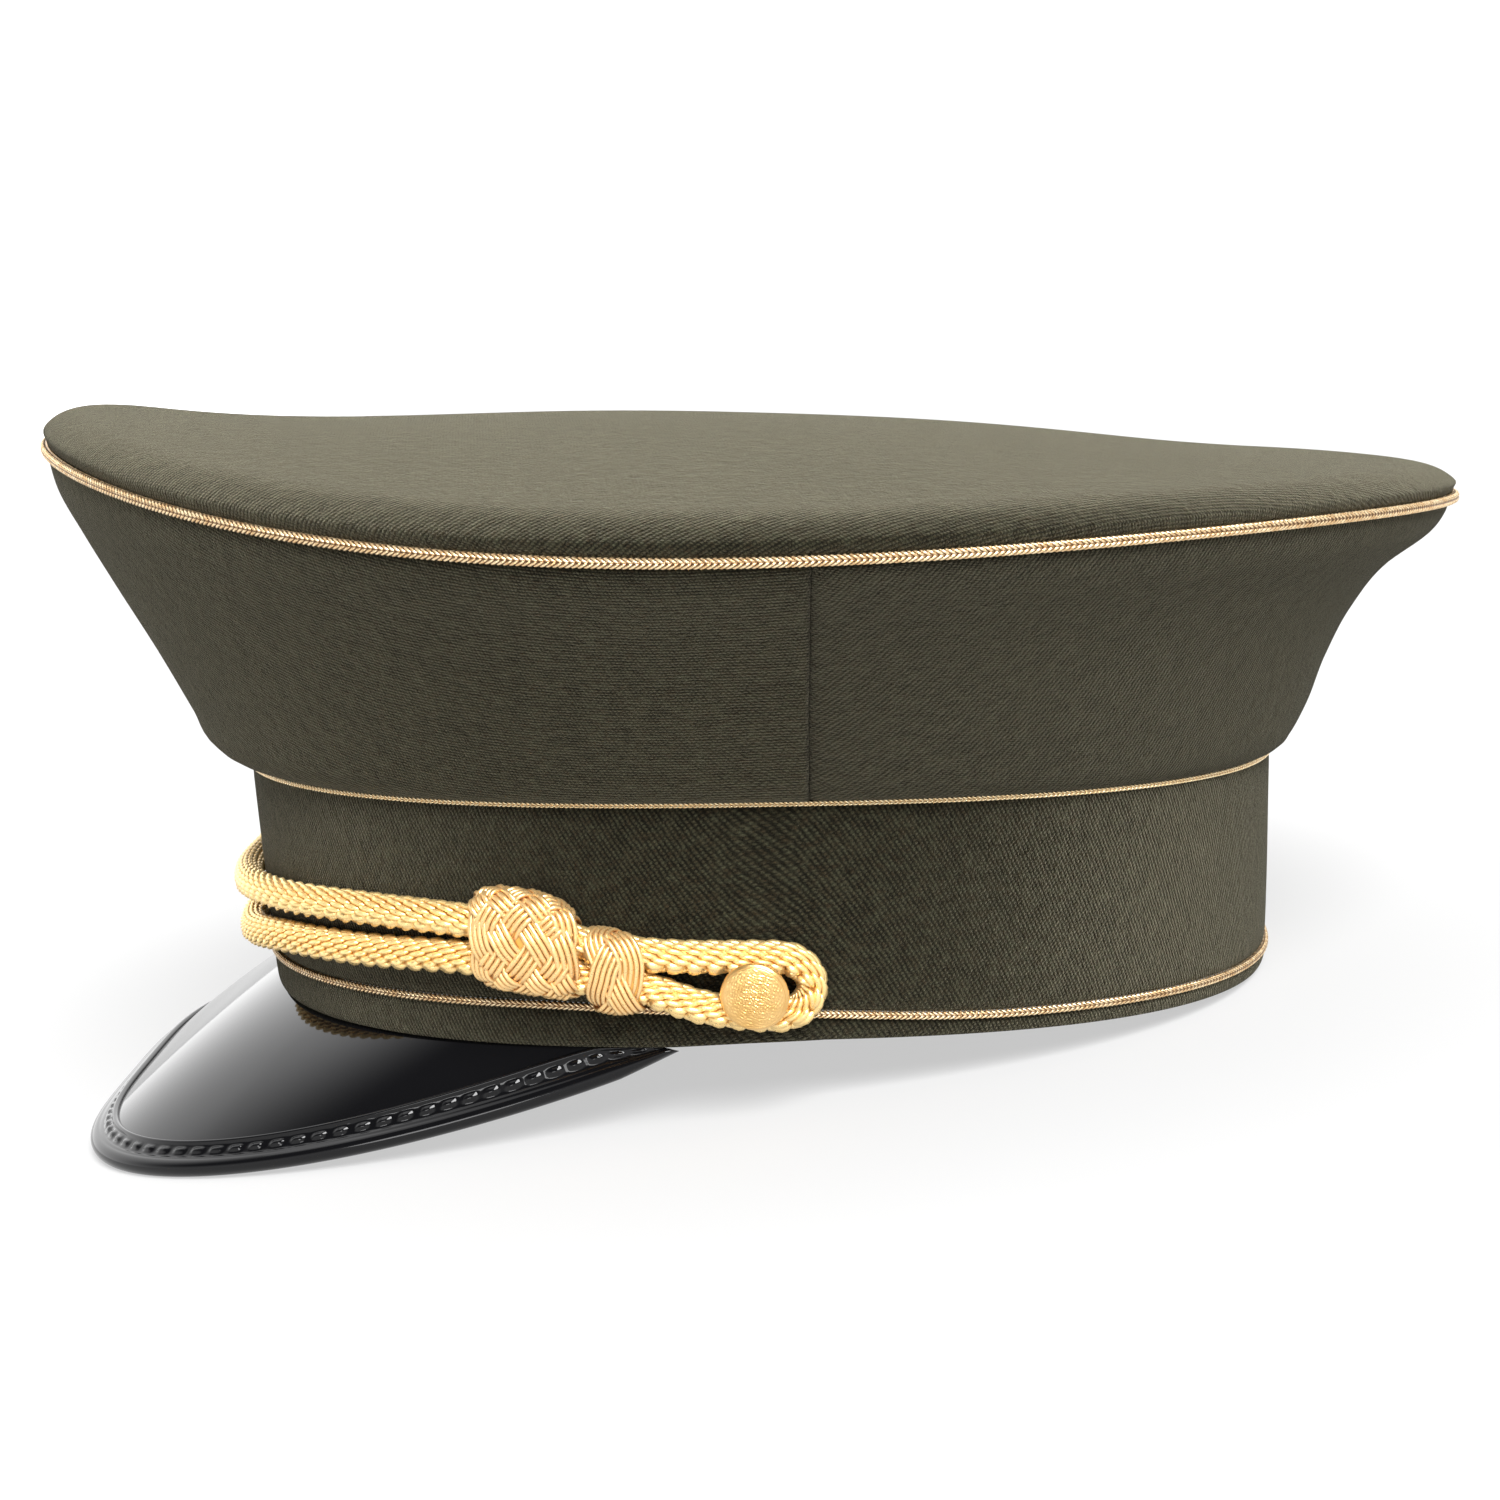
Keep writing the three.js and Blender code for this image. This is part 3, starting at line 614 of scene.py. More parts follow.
def add_camera():
    """Looks at a point of the cap from its left and a little above the band's plane, with a slight roll."""
    elevation, yaw, roll = (math.radians(CAMERA[key]) for key in ("elevation", "yaw", "roll"))
    level = np.array([-math.sin(yaw), -math.cos(yaw), 0]) * math.cos(elevation)
    to_camera = level + np.array([0, 0, math.sin(elevation)])
    place = np.array(CAMERA["target"]) + CAMERA["distance"] * to_camera
    right = unit(np.cross(-to_camera, [0, 0, 1]))
    up = np.cross(right, -to_camera)
    rolled_right = right * math.cos(roll) + up * math.sin(roll)
    rolled_up = up * math.cos(roll) - right * math.sin(roll)
    origin = standing(np.zeros(3))
    columns = [standing(v * 1000) - origin for v in (rolled_right, rolled_up, to_camera)]
    data = bpy.data.cameras.new("camera")
    data.sensor_width = CAMERA["sensor"]
    data.lens = CAMERA["sensor"] * CAMERA["focal"] / CAMERA["frame"]
    data.clip_start = 0.01
    data.clip_end = 50
    camera = bpy.data.objects.new("camera", data)
    camera.matrix_world = turned(columns, standing(place))
    link(camera)
    bpy.context.scene.camera = camera


add_camera()

cloth_top = twill("twill_top", 28)
cloth_front = twill("twill_front", 4, 0.8)
cloth_rear = twill("twill_rear", 49, 1.5)
cloth_band = twill("twill_band", -66, 1.25)
# The second colour of each gilt thread material is the painted shade of its hollows.
gold_cord = gilt_thread("gilt_cord", (0.99, 0.71, 0.31, 1), (0.42, 0.16, 0.025, 1), 0.3)
gold_knot = gilt_thread("gilt_knot", (0.9, 0.6, 0.27, 1), (0.3, 0.1, 0.016, 1), 0.3)
gold_core = gilt_thread("gilt_core", (0.85, 0.5, 0.12, 1), (0.5, 0.24, 0.05, 1), 0.45)
gold_button = pebbled_gilt()
# Colours of a piping's hollows, duller strands and brighter strands; the hollow colour is painted shade. The
# second set, for the top piping, is painted paler all over: painted light against the shade under the crown's
# overhang.
OPEN_GILT = (0.12, 0.05, 0.016, 1), (0.7, 0.46, 0.23, 1), (0.94, 0.74, 0.46, 1)
OVERHANG_BRIGHTENED_GILT = (0.55, 0.33, 0.14, 1), (0.9, 0.68, 0.38, 1), (1.0, 0.84, 0.54, 1)
patent = patent_leather("patent_leather", 0.5)
patent_edge = patent_leather("patent_binding", 0.32)


# Crown


def add_crown_top():
    """The domed top and an inner face below. Its edge swells a little and is lifted and drawn in at the
    piping. The cloth's millimetres run along the sheet from the middle."""
    angle = np.linspace(0, 2 * math.pi, 289)[:-1, None]
    out = 1 - np.linspace(1, 0, 56)[None, :] ** 2
    outer = top_point(angle, out)
    rim = oval(HOOP, HOOP_SQUARENESS, angle)
    periods = [(0.031, 0.017), (0.022, -0.04), (-0.05, 0.03), (0.07, 0.05)]
    waves = soft_waves(outer[..., 0], outer[..., 1], periods, 3)
    outer[..., 2] += GAP / 2 + 0.4 * waves * (1 - out**8)
    rim_direction = joined(rim[0] - HOOP[2], rim[1])
    from_edge = (1 - out) * np.hypot(*rim)
    outer[..., 2] += (CROWN_PIPING_RADIUS + GAP / 2) * np.exp(-from_edge / 0.6)
    swell = TOP_SWELL * (1 - np.exp(-from_edge / 0.2)) * np.exp(-from_edge / 4)
    outer[..., :2] *= (1 + (swell - fading(from_edge, 0.3, 0.1)) / np.hypot(*rim))[..., None]
    inner = top_point(angle, out, CROWN_WALL)
    inner[..., 2] += GAP / 2
    steps = np.linalg.norm(np.diff(outer, axis=1, prepend=outer[:, :1]), axis=-1)
    flat = unit(rim_direction) * np.cumsum(steps, axis=1)[..., None]
    part = wall_skin(outer, inner, True), wall_skin(flat, flat, True), 1.0
    add_piece("crown_top_cloth", [part], cloth_top, ["crown_top"])


def seam_angle(up, front):
    """The angle at which the wall meets the upright side seam, at a share of its height."""
    length = lerp(BAND_TOP[0], HOOP[0], up)
    middle = lerp(BAND_TOP[2], HOOP[2], up)
    squareness = lerp(BAND_SQUARENESS, HOOP_SQUARENESS, up)
    x = SEAM_X + (-GAP / 2 if front else -GAP) - middle
    return np.arccos(-(np.abs(x / length) ** (squareness / 2)))


def add_crown_panel(name, node, front, material):
    """Half of the side wall between the two seams. Its edges are drawn in and run under the pipings. At the
    seams the front half stands a little proud, the rear half lies under it, and a groove is pressed in, whose
    cloth is painted near black as shade."""
    up = np.linspace(0, 1, 45)[None, :]
    up = up - 0.12 * np.sin(2 * math.pi * up) / (2 * math.pi)
    beside_seam = np.array([0.0018, 0.0042])
    even = np.sort(np.concatenate([np.linspace(-1, 1, 193), 1 - beside_seam, beside_seam - 1]))[:, None]
    share = 0.25 * np.sin(math.pi / 2 * even) + 0.75 * even
    seam = seam_angle(up, front)
    angle = share * seam if front else math.pi + share * (math.pi - seam)
    height = hoop_z(angle) - band_top_z(angle)
    low = 0.6 * TOP_PIPING_RADIUS / height
    high = 1 - 0.7 * CROWN_PIPING_RADIUS / height
    level = lerp(low, high, up)
    from_seam = (1 - np.abs(share)) * PANEL_HALF_LENGTH
    from_low = (level - low) * height
    from_high = (high - level) * height
    raise_by = -fading(from_low, *PANEL_LOW_TUCK) - fading(from_high, *PANEL_HIGH_TUCK)
    at_seam = fading(from_seam, *FRONT_SEAM_RIDGE) if front else -fading(from_seam, *REAR_SEAM_TUCK)
    raise_by = raise_by + at_seam - fading(from_seam, *SEAM_GROOVE)
    waves = soft_waves(angle, level, [(4, 3), (7, -4), (3, 7)], 11 if front else 12)
    raise_by = raise_by + 0.35 * waves * np.sin(math.pi * level)
    outer = wall_point(angle, level, raise_by)
    inner = wall_point(angle, level, -CROWN_WALL + 0 * level)
    cut = cone_cloth(angle, level, middle_angle=math.pi / 2, low_radius=95, spread=0.6, height=66)
    # Nothing at a seam and 1 elsewhere: stored as relief, it paints the seam's groove near black as painted
    # shade.
    unshaded_by_seam_shade = 1 - np.exp(-((from_seam / 0.4) ** 2)) + 0 * level
    skin = wall_skin(outer, inner, False)
    relief = wall_skin(unshaded_by_seam_shade[..., None], unshaded_by_seam_shade[..., None], False)[..., 0]
    add_piece(name, [(skin, wall_skin(cut, cut, False), relief)], material, [node])


def piping_ring(name, node, radius, centre, pitch, sides, step, colours):
    """A closed herringbone cord: its radius rises in short lobes that slant left and right in turn from
    column to column."""
    angle = np.linspace(0, 2 * math.pi, 4001)[:-1]
    line, length = resampled(centre(angle), len(angle))
    spots = int(length / step)
    line, _ = resampled(line[:-1], spots)
    along = unit(np.roll(line[:-1], -1, axis=0) - np.roll(line[:-1], 1, axis=0))
    along = np.concatenate([along, along[:1]])
    outward = unit(np.cross(along, [0, 0, 1.0]))
    middle = line.mean(axis=0)
    outward *= np.sign(np.einsum("ij,ij->i", outward, line - middle))[:, None]
    upward = unit(np.cross(outward, along))
    upward *= np.sign(upward[:, 2:])
    turn = np.linspace(0, 2 * math.pi, sides + 1)[None, :]
    distance = np.linspace(0, length, spots + 1)[:, None]
    column = turn / (2 * math.pi) * PIPING_COLUMNS
    inside = column - np.floor(column) - 0.5
    side = 1 - 2 * (np.floor(column) % 2)
    repeats = round(length / pitch)
    width = 2 * math.pi * radius / PIPING_COLUMNS
    phase = distance / length * repeats + side * inside * width / pitch
    relief = np.sqrt(np.clip(1 - (1.8 * inside) ** 2, 0, 1)) * np.abs(np.sin(math.pi * phase)) ** 0.9
    relief[:, -1] = relief[:, 0]
    relief[-1] = relief[0]
    reach = radius * (PIPING_HOLLOW + PIPING_RISE * relief)
    ring = np.cos(turn)[..., None] * outward[:, None] + np.sin(turn)[..., None] * upward[:, None]
    points = line[:, None] + reach[..., None] * ring
    uv = joined(distance / length * repeats, column)
    gilt = plaited_gilt(name + "_gilt", width / pitch, *colours)
    add_piece(name, [(points, uv, relief)], gilt, [node])


def crown_edge(angle):
    """The hoop oval at the height of the crown's edge."""
    return joined(*oval(HOOP, HOOP_SQUARENESS, angle), hoop_z(angle))


add_crown_top()
add_crown_panel("crown_front_cloth", "crown_front_panel", True, cloth_front)
add_crown_panel("crown_rear_cloth", "crown_rear_panel", False, cloth_rear)
piping_ring("crown_edge_plait", "crown_edge_piping", CROWN_PIPING_RADIUS, crown_edge,
            pitch=1.05, sides=16, step=0.2, colours=OPEN_GILT)


# Band


def add_band_strip(name, node, low, high):
    """A ring of the head band between two heights, drawn in where it meets a piping, with slight waves."""
    angle = np.linspace(0, 2 * math.pi, 289)[:-1, None]
    share = np.linspace(0, 1, 21)[None, :]
    share = share - 0.8 * np.sin(2 * math.pi * share) / (2 * math.pi)
    bottom, top = low(angle), high(angle)
    z = lerp(bottom, top, share)
    sunk = -fading(z - bottom, *BAND_TUCK) - fading(top - z, *BAND_TUCK)
    sunk = sunk + 0.12 * soft_waves(angle, share, [(5, 2), (8, -3), (3, 4)], 21) * np.sin(math.pi * share)
    outer = band_point(angle, z, sunk)
    inner = band_point(angle, z, -BAND_WALL + 0 * z)
    flat = joined(angle * BAND_MEAN_RADIUS, z)
    uv = wall_skin(flat, flat, True)
    uv[-1, :, 0] += 2 * math.pi * BAND_MEAN_RADIUS
    add_piece(name, [(wall_skin(outer, inner, True), uv, 1.0)], cloth_band, [node])


def lower_ring(angle):
    """The band's outer face at the height of the lower piping."""
    return band_point(angle, lower_piping_z(angle))


def top_ring(angle):
    """The band's outer face at its upper edge."""
    return band_point(angle, band_top_z(angle))


def foot_bottom(angle):
    """The foot's lower edge hangs lower over the peak, most at the sides, by a sine squared."""
    over_peak = np.clip(np.cos(angle) / 0.15 + 0.3, 0, 1)
    return BAND_BOTTOM_Z - lerp(0.45, 1.0, np.sin(angle) ** 2) * over_peak


def beside(ring_z, shift):
    """A line of heights, moved by most of a piping's radius."""
    return lambda angle: ring_z(angle) + 0.8 * shift


below_lower, above_lower = (beside(lower_piping_z, side * LOWER_PIPING_RADIUS) for side in (-1, 1))
add_band_strip("band_foot_cloth", "band_foot", foot_bottom, below_lower)
add_band_strip("band_cloth", "band", above_lower, beside(band_top_z, -TOP_PIPING_RADIUS))
piping_ring("lower_plait", "band_lower_piping", LOWER_PIPING_RADIUS, lower_ring,
            pitch=1.0, sides=12, step=0.17, colours=OPEN_GILT)
# The top piping's colours are painted paler: painted light against the shade under the overhang.
piping_ring("top_plait", "band_top_piping", TOP_PIPING_RADIUS, top_ring,
            pitch=0.9, sides=12, step=0.2, colours=OVERHANG_BRIGHTENED_GILT)


# Peak


def rim_point(angle):
    """The rim in plan is a superellipse on the line between its ends; its drop is a parabola of its reach."""
    length = PEAK["end_x"] - PEAK["tip_x"]
    n = PEAK["squareness"]
    ahead, aside = np.abs(np.cos(angle) / length), np.abs(np.sin(angle) / PEAK["half_width"])
    radius = (ahead**n + aside**n) ** (-1 / n)
    reach = radius * np.cos(angle) / length
    drop = lerp(PEAK["end_drop"], PEAK["tip_drop"], reach + PEAK_BEND * reach * (1 - reach))
    return joined(PEAK["end_x"] - length * reach, -radius * np.sin(angle), -drop)


def peak_frames(angle):
    """For each section: seat, rim, width, bulge, and the leather's directions at the rim, outwards and up."""
    rim = rim_point(angle)
    seat_angle = band_angle(np.arctan2(-rim[:, 1], PEAK_FAN_X - rim[:, 0]))
    seat = band_point(seat_angle, BAND_BOTTOM_Z - GAP - PEAK_SHEET / 2 + 0 * angle, -PEAK_SEAT)
    width = np.linalg.norm(seat - rim, axis=-1)
    level = unit((rim - seat) * np.array([1.0, 1.0, 0.0]))
    lift = PEAK_ARCH["height"] * np.minimum(1, width / PEAK_ARCH["full_width"])
    bulge = (level * PEAK_ARCH["outward"] + np.array([0, 0, PEAK_ARCH["upward"]])) * lift[:, None]

    def middle(out):
        """The leather's middle face: straight from seat to rim, plus a parabola of the bulge."""
        out = np.asarray(out)[..., None]
        return seat[:, None] * (1 - out) + rim[:, None] * out + bulge[:, None] * 4 * out * (1 - out)

    near_rim = middle((1 - BINDING_WIDTH / 2 / width)[:, None])[:, 0]
    outward = unit(rim - near_rim)
    along = unit(rim_point(angle + 0.01) - rim_point(angle - 0.01))
    up = unit(np.cross(along, outward))
    up *= np.sign(up[:, 2:])
    return rim, width, middle, outward, up


def peak_angles(count, trim=0.0):
    """Section angles whose rim points lie at even distances along the rim."""
    fine = np.linspace(-PEAK_END_ANGLE + trim, PEAK_END_ANGLE - trim, 3001)
    length = arc_lengths(rim_point(fine))
    return np.interp(np.linspace(0, length[-1], count), length, fine), length[-1]


def add_peak():
    """The leather sheet between seat and binding, a smooth arch of even thickness."""
    angle, _ = peak_angles(193, 0.12)
    _, width, middle, _, up = peak_frames(angle)
    channel = np.minimum(1, (width - 0.5) / BINDING_WIDTH)
    edge = 1 - (BINDING_FLOOR + GAP) * channel / width
    out = np.linspace(0, 1, 41)[None, :] * edge[:, None]
    sheet = middle(out)
    outer = sheet + up[:, None] * PEAK_SHEET / 2
    inner = sheet - up[:, None] * PEAK_SHEET / 2
    uv = sheet[..., :2]
    part = wall_skin(outer, inner, False), wall_skin(uv, uv, False), 1.0
    add_piece("peak_leather", [part], patent, ["peak"])


# The binding's section: distance inwards from the middle of the bead, and height above the leather's middle
BINDING_TOP = np.array([
    [5.7, 0.82], [5.62, 1.2], [5.4, 1.6], [5.1, 1.78], [4.8, 1.66], [4.5, 1.34], [4.2, 1.2],
    [3.8, 1.13], [3.4, 1.08], [3.0, 1.03], [2.6, 0.98], [2.2, 0.95], [1.8, 1.05], [1.5, 1.36],
])
BINDING_UNDER = np.array([[1.5, -1.36], [2.2, -1.3], [3.6, -1.3], [4.8, -1.28], [5.3, -1.15], [5.4, -0.82]])


def add_binding():
    """The moulded binding: a section with ridge, groove, bead and flange follows the rim, and stitches rise
    in the groove by a clipped cosine."""
    angle, length = peak_angles(761)
    rim, width, middle, outward, up = peak_frames(angle)
    bead_turn = np.radians(np.linspace(135, -135, 17))
    bead = BINDING_BEAD * joined(-np.cos(bead_turn), np.sin(bead_turn))
    slot = np.array([[BINDING_FLOOR, -0.82], [BINDING_FLOOR, 0.82], [5.7, 0.82]])
    profile = np.concatenate([BINDING_TOP, bead, BINDING_UNDER, slot])
    channel = np.minimum(1, (width - 0.5) / BINDING_WIDTH)
    height = np.clip((BAND_BOTTOM_Z - GAP - rim[:, 2]) / BINDING_BEAD, 0.2, 1)
    inward = profile[None, :, 0] * channel[:, None]
    distance = np.linspace(0, length, len(angle))
    count = round(length / STITCH_PITCH)
    stitch = np.clip(np.cos(distance / length * count * 2 * math.pi) + 0.45, 0, 1) ** 0.5
    in_groove = np.exp(-(((profile[:, 0] - STITCH_LINE) / 0.6) ** 4)) * (profile[:, 1] > 0.9)
    rise = profile[None, :, 1] * height[:, None] + STITCH_RISE * stitch[:, None] * in_groove[None, :]
    inside = middle(1 - np.maximum(inward, 0) / width[:, None])
    outside = rim[:, None] + outward[:, None] * -np.minimum(inward, 0)[..., None]
    points = np.where((inward > 0)[..., None], inside, outside) + up[:, None] * rise[..., None]
    centre = points.mean(axis=1, keepdims=True) + 0 * points
    points = np.concatenate([centre[:1], points, centre[-1:]])
    uv = points[..., :2]
    add_piece("peak_binding_leather", [(points, uv, 1.0)], patent_edge, ["peak_binding"])


add_peak()
add_binding()


# Chin cord


def cord_line():
    """The closed centre line: across the front above, round one button, back below, round the other one."""
    end = plan_angle_of_x(0.0)
    radius = (CORD_UPPER[-1] - CORD_LOWER[-1]) / 2
    centre = (CORD_UPPER[-1] + CORD_LOWER[-1]) / 2
    sweep = np.linspace(-end, end, 900)
    upper, lower, off = cord_rows(sweep)
    above = on_band(sweep, upper, off)
    below = on_band(sweep[::-1], lower[::-1], off[::-1])
    turn = np.radians(np.linspace(90, -90, 41))
    x = LOOP_END_X + radius * np.cos(turn)
    first = on_band(plan_angle_of_x(x), centre + radius * np.sin(turn), CORD_OFF[-1] + 0 * x)
    second = on_band(-plan_angle_of_x(x), centre - radius * np.sin(turn), CORD_OFF[-1] + 0 * x)
    line, _ = resampled(np.concatenate([above, first, below, second]), 1600)
    line, length = resampled(smoothed_ring(line[:-1], 4), 1600)
    return line[:-1], length


def add_chin_cord():
    """Round plait: rows of long grains on a core. The rows meet in a spine below the cord, which passes over
    the front of each end loop. Grains slant towards the spine, and each row starts about a third of a grain
    after the row nearer to it. The grains beside the spine are the thickest."""
    line, length = cord_line()
    along = unit(np.roll(line, -1, axis=0) - np.roll(line, 1, axis=0))
    half_length, half_width, middle_x = BAND_FOOT
    from_middle = (line - np.array([middle_x, 0, 0])) / np.array([half_length**2, half_width**2, 1e9])
    outward = unit(from_middle - along * np.einsum("ij,ij->i", from_middle, along)[:, None])
    lay = np.array([0, 0, -1.0]) + SPINE_FORWARD * outward
    spine = unit(lay - along * np.einsum("ij,ij->i", lay, along)[:, None])
    spine = unit(smoothed_ring(spine, 5))
    spine = unit(spine - along * np.einsum("ij,ij->i", spine, along)[:, None])
    across = np.cross(along, spine)
    repeats = round(length / PLAIT_PITCH)
    column = np.arange(PLAIT_COLUMNS)
    theta = (column + 0.5) / PLAIT_COLUMNS * 2 * math.pi
    from_spine = np.where(column < PLAIT_COLUMNS / 2, column, PLAIT_COLUMNS - 1 - column)
    slant = np.where(np.sin(theta) > 0, -1, 1) * PLAIT_SLANT
    thick = 1 + 0.7 * np.exp(-((from_spine / 0.9) ** 2))
    start = (np.arange(repeats)[:, None] + PLAIT_STAGGER * from_spine[None, :]) / repeats * length
    u = np.sin(np.linspace(-math.pi / 2, math.pi / 2, 8))
    w = np.linspace(0, 2 * math.pi, 6)
    taper = (1 - np.abs(u) ** 2.6) ** 0.5
    reach = GRAIN["half_length"] * u
    distance = start[..., None] + reach * np.cos(slant)[None, :, None]
    spin = theta[:, None] + reach * np.sin(slant)[:, None] / GRAIN["ring"]
    dip = GRAIN["tuck"] * np.abs(u) ** 2.4 + GRAIN["tilt"] * u
    rise = taper[:, None] * np.cos(w) * GRAIN["half_height"] - dip[:, None]
    side = taper[:, None] * np.sin(w) * GRAIN["half_width"]
    radius = GRAIN["ring"] + rise * thick[:, None, None]
    turn = spin[..., None] + side * thick[:, None, None] ** 0.5 / GRAIN["ring"]
    at = distance[..., None] + 0 * turn
    radius, turn = radius + 0 * at, turn + 0 * at
    step = np.arange(len(line) + 1) / len(line) * length

    def sample(values):
        """Values of the closed line at the grains' distances."""
        closed = np.concatenate([values, values[:1]])
        return joined(*(np.interp(at % length, step, closed[:, i]) for i in range(3)))

    way = np.cos(turn)[..., None] * sample(spine) + np.sin(turn)[..., None] * sample(across)
    points = sample(line) + radius[..., None] * way
    # relief: how far a point stands out from the hollows; the gilt material paints low points deep orange as
    # painted shade.
    relief = np.clip((radius - PLAIT_HOLLOW_RADIUS) / PLAIT_RELIEF, 0, 1)
    uv = joined(at, w * 0.55)
    points, relief, uv = (v.reshape((-1,) + v.shape[2:]) for v in (points, relief, uv))
    turn = np.linspace(0, 2 * math.pi, 13)[None, :, None]
    line, spine, across = (np.concatenate([v[::4], v[:1]])[:, None] for v in (line, spine, across))
    core = line + PLAIT_CORE_RADIUS * (np.cos(turn) * spine + np.sin(turn) * across)
    # The core gets relief 0, the deepest colour: painted shade between the grains.
    parts = [(points, uv, relief), (core, 0.0, 0.0)]
    add_piece("chin_cord_plait", parts, gold_cord, ["chin_cord"])


def knot_surface(knot, side, phi, u, scale=1.0):
    """The barrel of a Turk's head: ovals across the doubled cord, narrower towards the rounded ends, with a
    slow wander in the lay of the strand."""
    phi = phi + 0.09 * np.sin(2.1 * u + phi + 0.6)
    half = (knot["to"] - knot["from"]) / 2
    x = (knot["to"] + knot["from"]) / 2 + knot["shift"][0] + half * 0.92 * u + 0.35 * np.sin(2 * phi + 1)
    angle = plan_angle_of_x(x)
    upper, lower, off = cord_rows(angle)
    narrowing = (1 - knot["end_drop"] * np.abs(u) ** 4) * scale
    z = (upper + lower) / 2 + knot["shift"][1] + knot["tall"] * narrowing * signed_power(np.sin(phi), 0.85)
    out = off + knot["deep"] * narrowing * signed_power(np.cos(phi), 0.85)
    return on_band(angle, z, out) * np.array([1, side, 1])


def add_knot(word, knot, side):
    """One strand of parallel threads that winds round the barrel while it swings from end to end. It passes
    over and under itself in turn at each crossing, on a core of yellow thread."""
    leads, bights, radius = knot["leads"], knot["bights"], knot["thread_radius"]
    t = np.linspace(0, 2 * math.pi, 120 * leads + 1)[:-1]
    step = 1e-3

    def path(time, d_phi=0.0, d_u=0.0):
        """The strand's course: even turns round the barrel and a cosine swing along it."""
        u = np.cos(bights * time) * knot["swing"] + d_u
        return knot_surface(knot, side, leads * time + d_phi + knot["start"], u)

    base = path(t)
    normal = unit(np.cross(path(t, step) - path(t, -step), path(t, 0, step) - path(t, 0, -step)))
    normal *= np.sign(np.einsum("ij,ij->i", normal, base - base.mean(axis=0)))[:, None]
    along = unit(path(t + step) - path(t - step))
    aside = np.cross(normal, along)
    crossing = np.arange(2 * bights * leads)
    times = math.pi * crossing[crossing % leads != 0] / (bights * leads)
    order = np.arange(len(times))
    turns = np.concatenate([times - 2 * math.pi, times, times + 2 * math.pi])
    index = np.interp(t, turns, np.concatenate([order - len(times), order, order + len(times)]))
    weave = np.cos(math.pi * index)
    ring = np.linspace(0, 2 * math.pi, 7)
    parts = []
    for lane in np.arange(knot["lanes"]) - (knot["lanes"] - 1) / 2:
        centre = base + normal * (knot["weave"] * weave - 0.05 * lane**2)[:, None] + aside * lane * 2 * radius
        spoke = np.cos(ring)[:, None] * normal[:, None] + np.sin(ring)[:, None] * aside[:, None]
        points = centre[:, None] + radius * 0.97 * spoke
        # relief: high on the thread's outer side and where it passes over, low on its inner side and where it
        # passes under, so the gilt paints shade there.
        relief = np.clip(0.12 + 0.6 * np.cos(ring) + 0.12 * weave[:, None], 0, 1)
        points, relief = (np.concatenate([v, v[:1]]) for v in (points, relief))
        uv = joined(np.linspace(0, 60.0 * leads, len(points))[:, None], ring)
        parts.append((points, uv, relief))
    name = word + "_turks_head_" + ("left" if side > 0 else "right")
    node = word + "_knot_" + ("left" if side > 0 else "right")
    add_piece(name, parts, gold_knot, [node])
    phi = np.linspace(0, 2 * math.pi, 49)[None, :]
    u = np.concatenate([[-0.96], np.linspace(-0.96, 0.96, 25), [0.96]])[:, None]
    size = np.ones_like(u)
    size[[0, -1]] = 0
    core = knot_surface(knot, side, phi, u, 0.98)
    middle = core.mean(axis=1, keepdims=True)
    core = middle + (core - middle) * size[..., None]
    add_piece(name + "_core", [(core, 0.0, 0.4)], gold_core, [node])


def add_button(name, node, side):
    """A shallow dome on a round rim, turned from a profile. Warped sines in seeded directions pebble it."""
    radius, back, rim, dome = (BUTTON[key] for key in ("radius", "back", "rim", "dome"))
    edge_radius, shank_radius = BUTTON["edge"], BUTTON["shank"]
    plan = plan_angle_of_x(BUTTON["x"])
    at = on_band(plan, np.array(BUTTON["z"]), 0.0)
    axis = unit(on_band(plan, np.array(BUTTON["z"]), 10.0) - at)
    face = at + (back + rim) * axis
    axis = unit(axis + np.array(BUTTON["tilt"]))
    at = face - (back + rim) * axis
    right = unit(np.cross([0, 0, 1.0], axis))
    up = np.cross(axis, right)
    shank = np.array([[0, GAP], [shank_radius, GAP], [shank_radius, back]])
    edge_turn = np.radians(np.linspace(-80, 75, 11))
    edge_r = radius - edge_radius + edge_radius * np.cos(edge_turn)
    edge = joined(edge_r, back + rim / 2 + edge_radius * np.sin(edge_turn))
    face_r = np.linspace(radius - 0.75, 0, 60)
    face = joined(face_r, back + rim + 0.05 + dome * 0.62 * (1 - (face_r / radius) ** 2))
    step = np.array([[-0.5, 0.12], [-0.62, 0.12], [-0.7, 0]]) + np.array([radius, back + rim])
    profile = np.concatenate([shank, edge, step, face])
    turn = np.linspace(0, 2 * math.pi, 145)
    r, height = profile[:, 0][:, None], profile[:, 1][:, None]
    x, y = r * np.cos(turn), r * np.sin(turn)
    random = np.random.default_rng(5)
    warp_x = x + 0.12 * np.sin(3.1 * y + 1) + 0.05 * np.sin(9 * y)
    warp_y = y + 0.12 * np.sin(2.7 * x) + 0.05 * np.sin(8 * x + 2)
    pebbles = 0
    for _ in range(6):
        way = random.uniform(0, math.pi)
        rate = random.uniform(10, 15)
        across = warp_x * math.cos(way) + warp_y * math.sin(way)
        pebbles = pebbles + np.sin(rate * across + random.uniform(0, 6))
    on_face = np.clip((radius - 0.7 - r) / 0.3, 0, 1) * (height > back + rim)
    height = height + BUTTON["pebble"] * pebbles * on_face
    points = at + x[..., None] * right + y[..., None] * up + height[..., None] * axis
    points = points * np.array([1, side, 1])
    add_piece(name, [(points, 0.0, 1.0)], gold_button, [node])


add_chin_cord()
for word, side in (("left", 1), ("right", -1)):
    add_knot("large", LARGE_KNOT, side)
    add_knot("small", SMALL_KNOT, side)
    add_button("gilt_button_" + word, "button_" + word, side)


# Floor, background and light


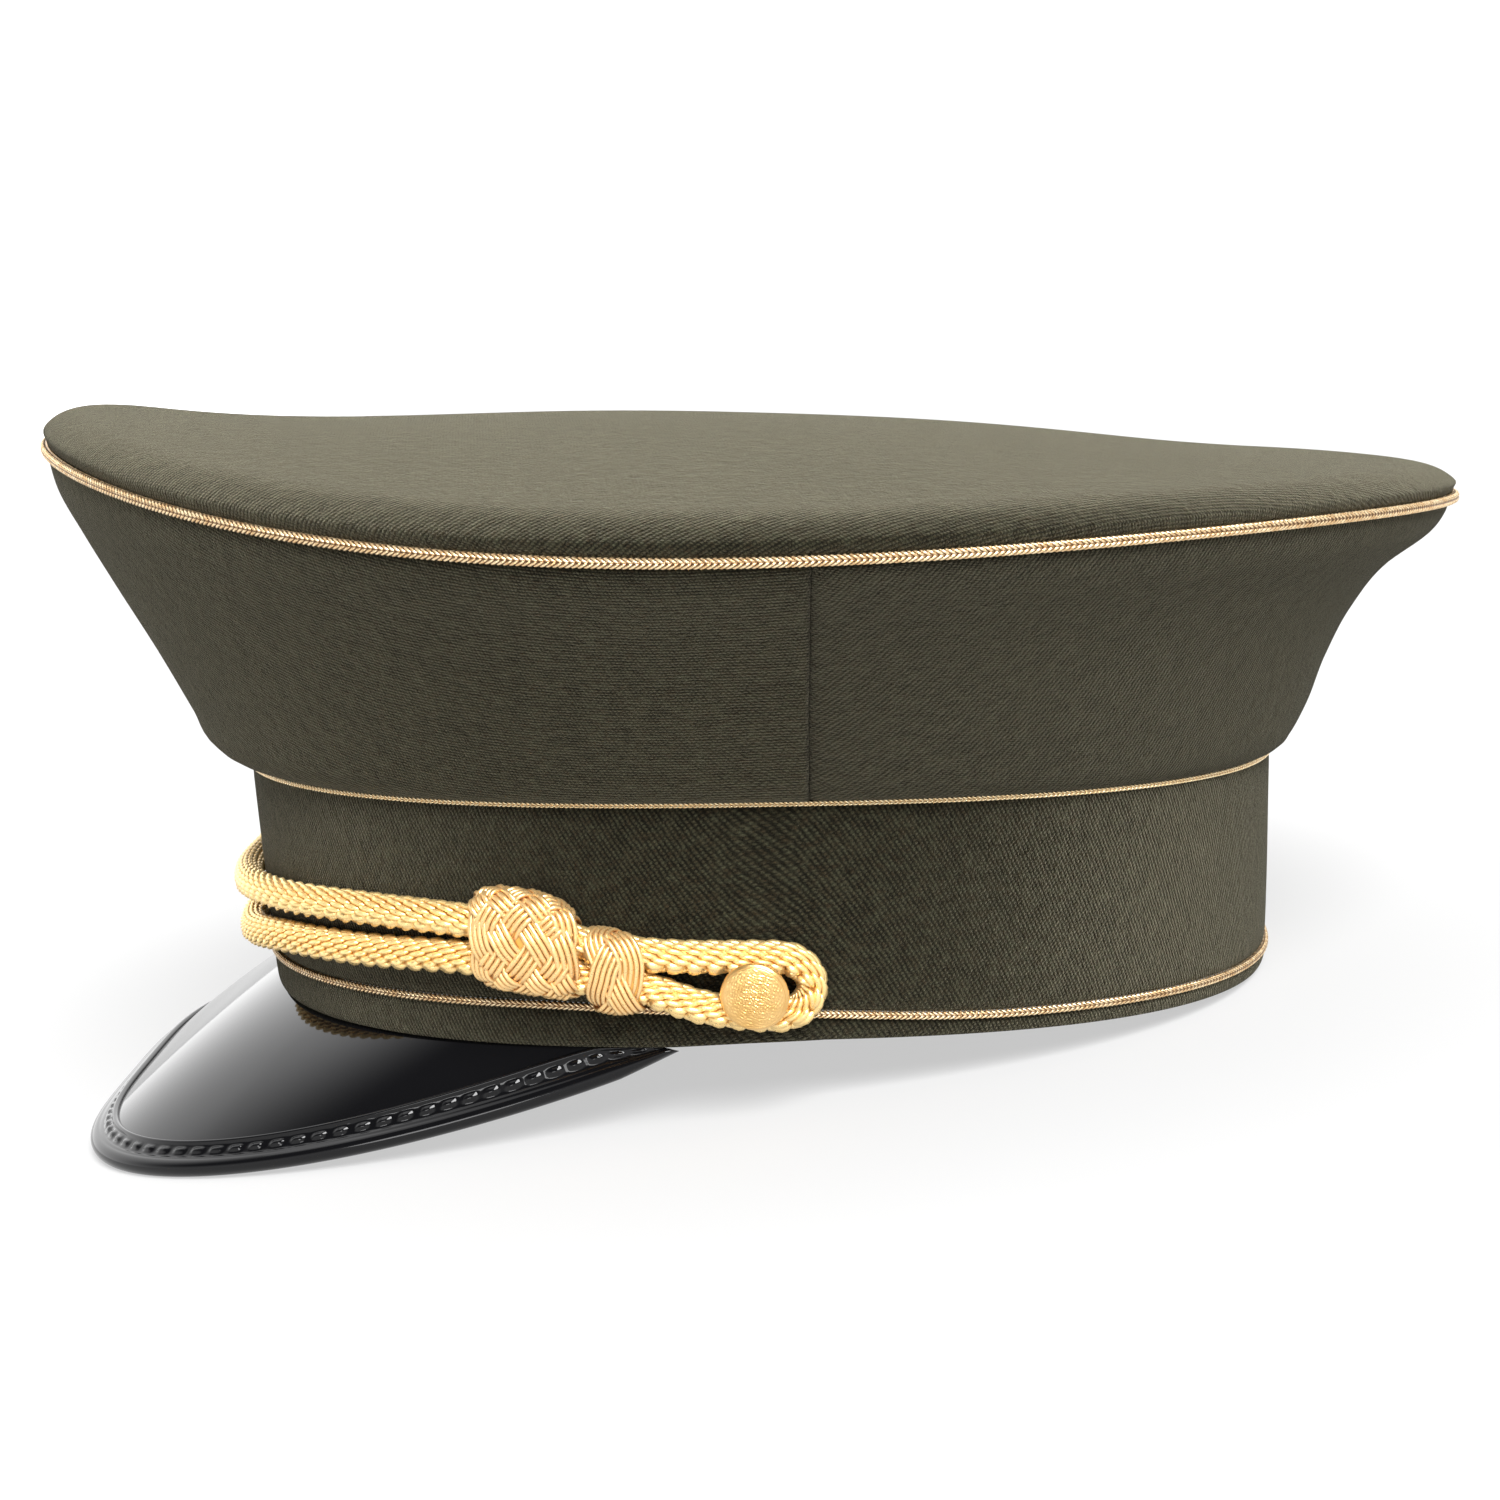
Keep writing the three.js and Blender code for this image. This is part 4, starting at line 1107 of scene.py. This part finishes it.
def add_stage():
    """A wide, pale and level floor."""
    reach = 60.0
    corners = [(-reach, -reach, 0), (reach, -reach, 0), (reach, reach, 0), (-reach, reach, 0)]
    mesh = bpy.data.meshes.new("floor")
    mesh.from_pydata(corners, [], [(0, 1, 2, 3)])
    mesh.materials.append(plain_floor())
    floor = bpy.data.objects.new("floor", mesh)
    link(floor)


def add_glow(name, strength, width, towards):
    """A soft light from far away, in the direction of a vector."""
    data = bpy.data.lights.new(name, "SUN")
    data.energy = strength
    data.angle = math.radians(width)
    light = bpy.data.objects.new(name, data)
    back = unit(np.array(towards, float))
    right = unit(np.cross([0.01, 0.02, 1.0], back))
    light.matrix_world = turned([right, np.cross(back, right), back])
    link(light)


def add_world():
    """A white room: bright behind the cap and low all round, dark high up on the near side."""
    world = bpy.data.worlds.new("soft_room")
    world.use_nodes = True
    tree = world.node_tree
    way = tree.nodes.new("ShaderNodeTexCoord").outputs["Generated"]
    split = tree.nodes.new("ShaderNodeSeparateXYZ")
    tree.links.new(way, split.inputs[0])

    def ramp(value, low, high, to_low, to_high):
        """A smooth step of the value from one strength to another."""
        node = tree.nodes.new("ShaderNodeMapRange")
        node.interpolation_type = "SMOOTHSTEP"
        tree.links.new(value, node.inputs["Value"])
        for key, number in zip(("From Min", "From Max", "To Min", "To Max"), (low, high, to_low, to_high)):
            if isinstance(number, bpy.types.NodeSocket):
                tree.links.new(number, node.inputs[key])
            else:
                node.inputs[key].default_value = number
        return node.outputs[0]

    near_side = ramp(split.outputs[2], 0.06, 0.46, 1.05, 0.08)
    far_side = ramp(split.outputs[0], -0.5, 0.5, 2.0, 1.6)
    room = ramp(split.outputs[1], -0.4, 0.45, near_side, far_side)
    background = tree.nodes["Background"]
    background.inputs["Color"].default_value = (1, 1, 1, 1)
    tree.links.new(room, background.inputs["Strength"])
    bpy.context.scene.world = world


add_stage()
add_glow("ceiling_glow", 0.8, 60, (0, 0, 1))
add_glow("right_window", 6.8, 36, (0.27, -0.68, 0.74))
add_glow("left_lamp", 0.35, 14, (-0.33, -0.93, 0.12))
add_world()
bpy.context.scene.view_settings.view_transform = "Standard"
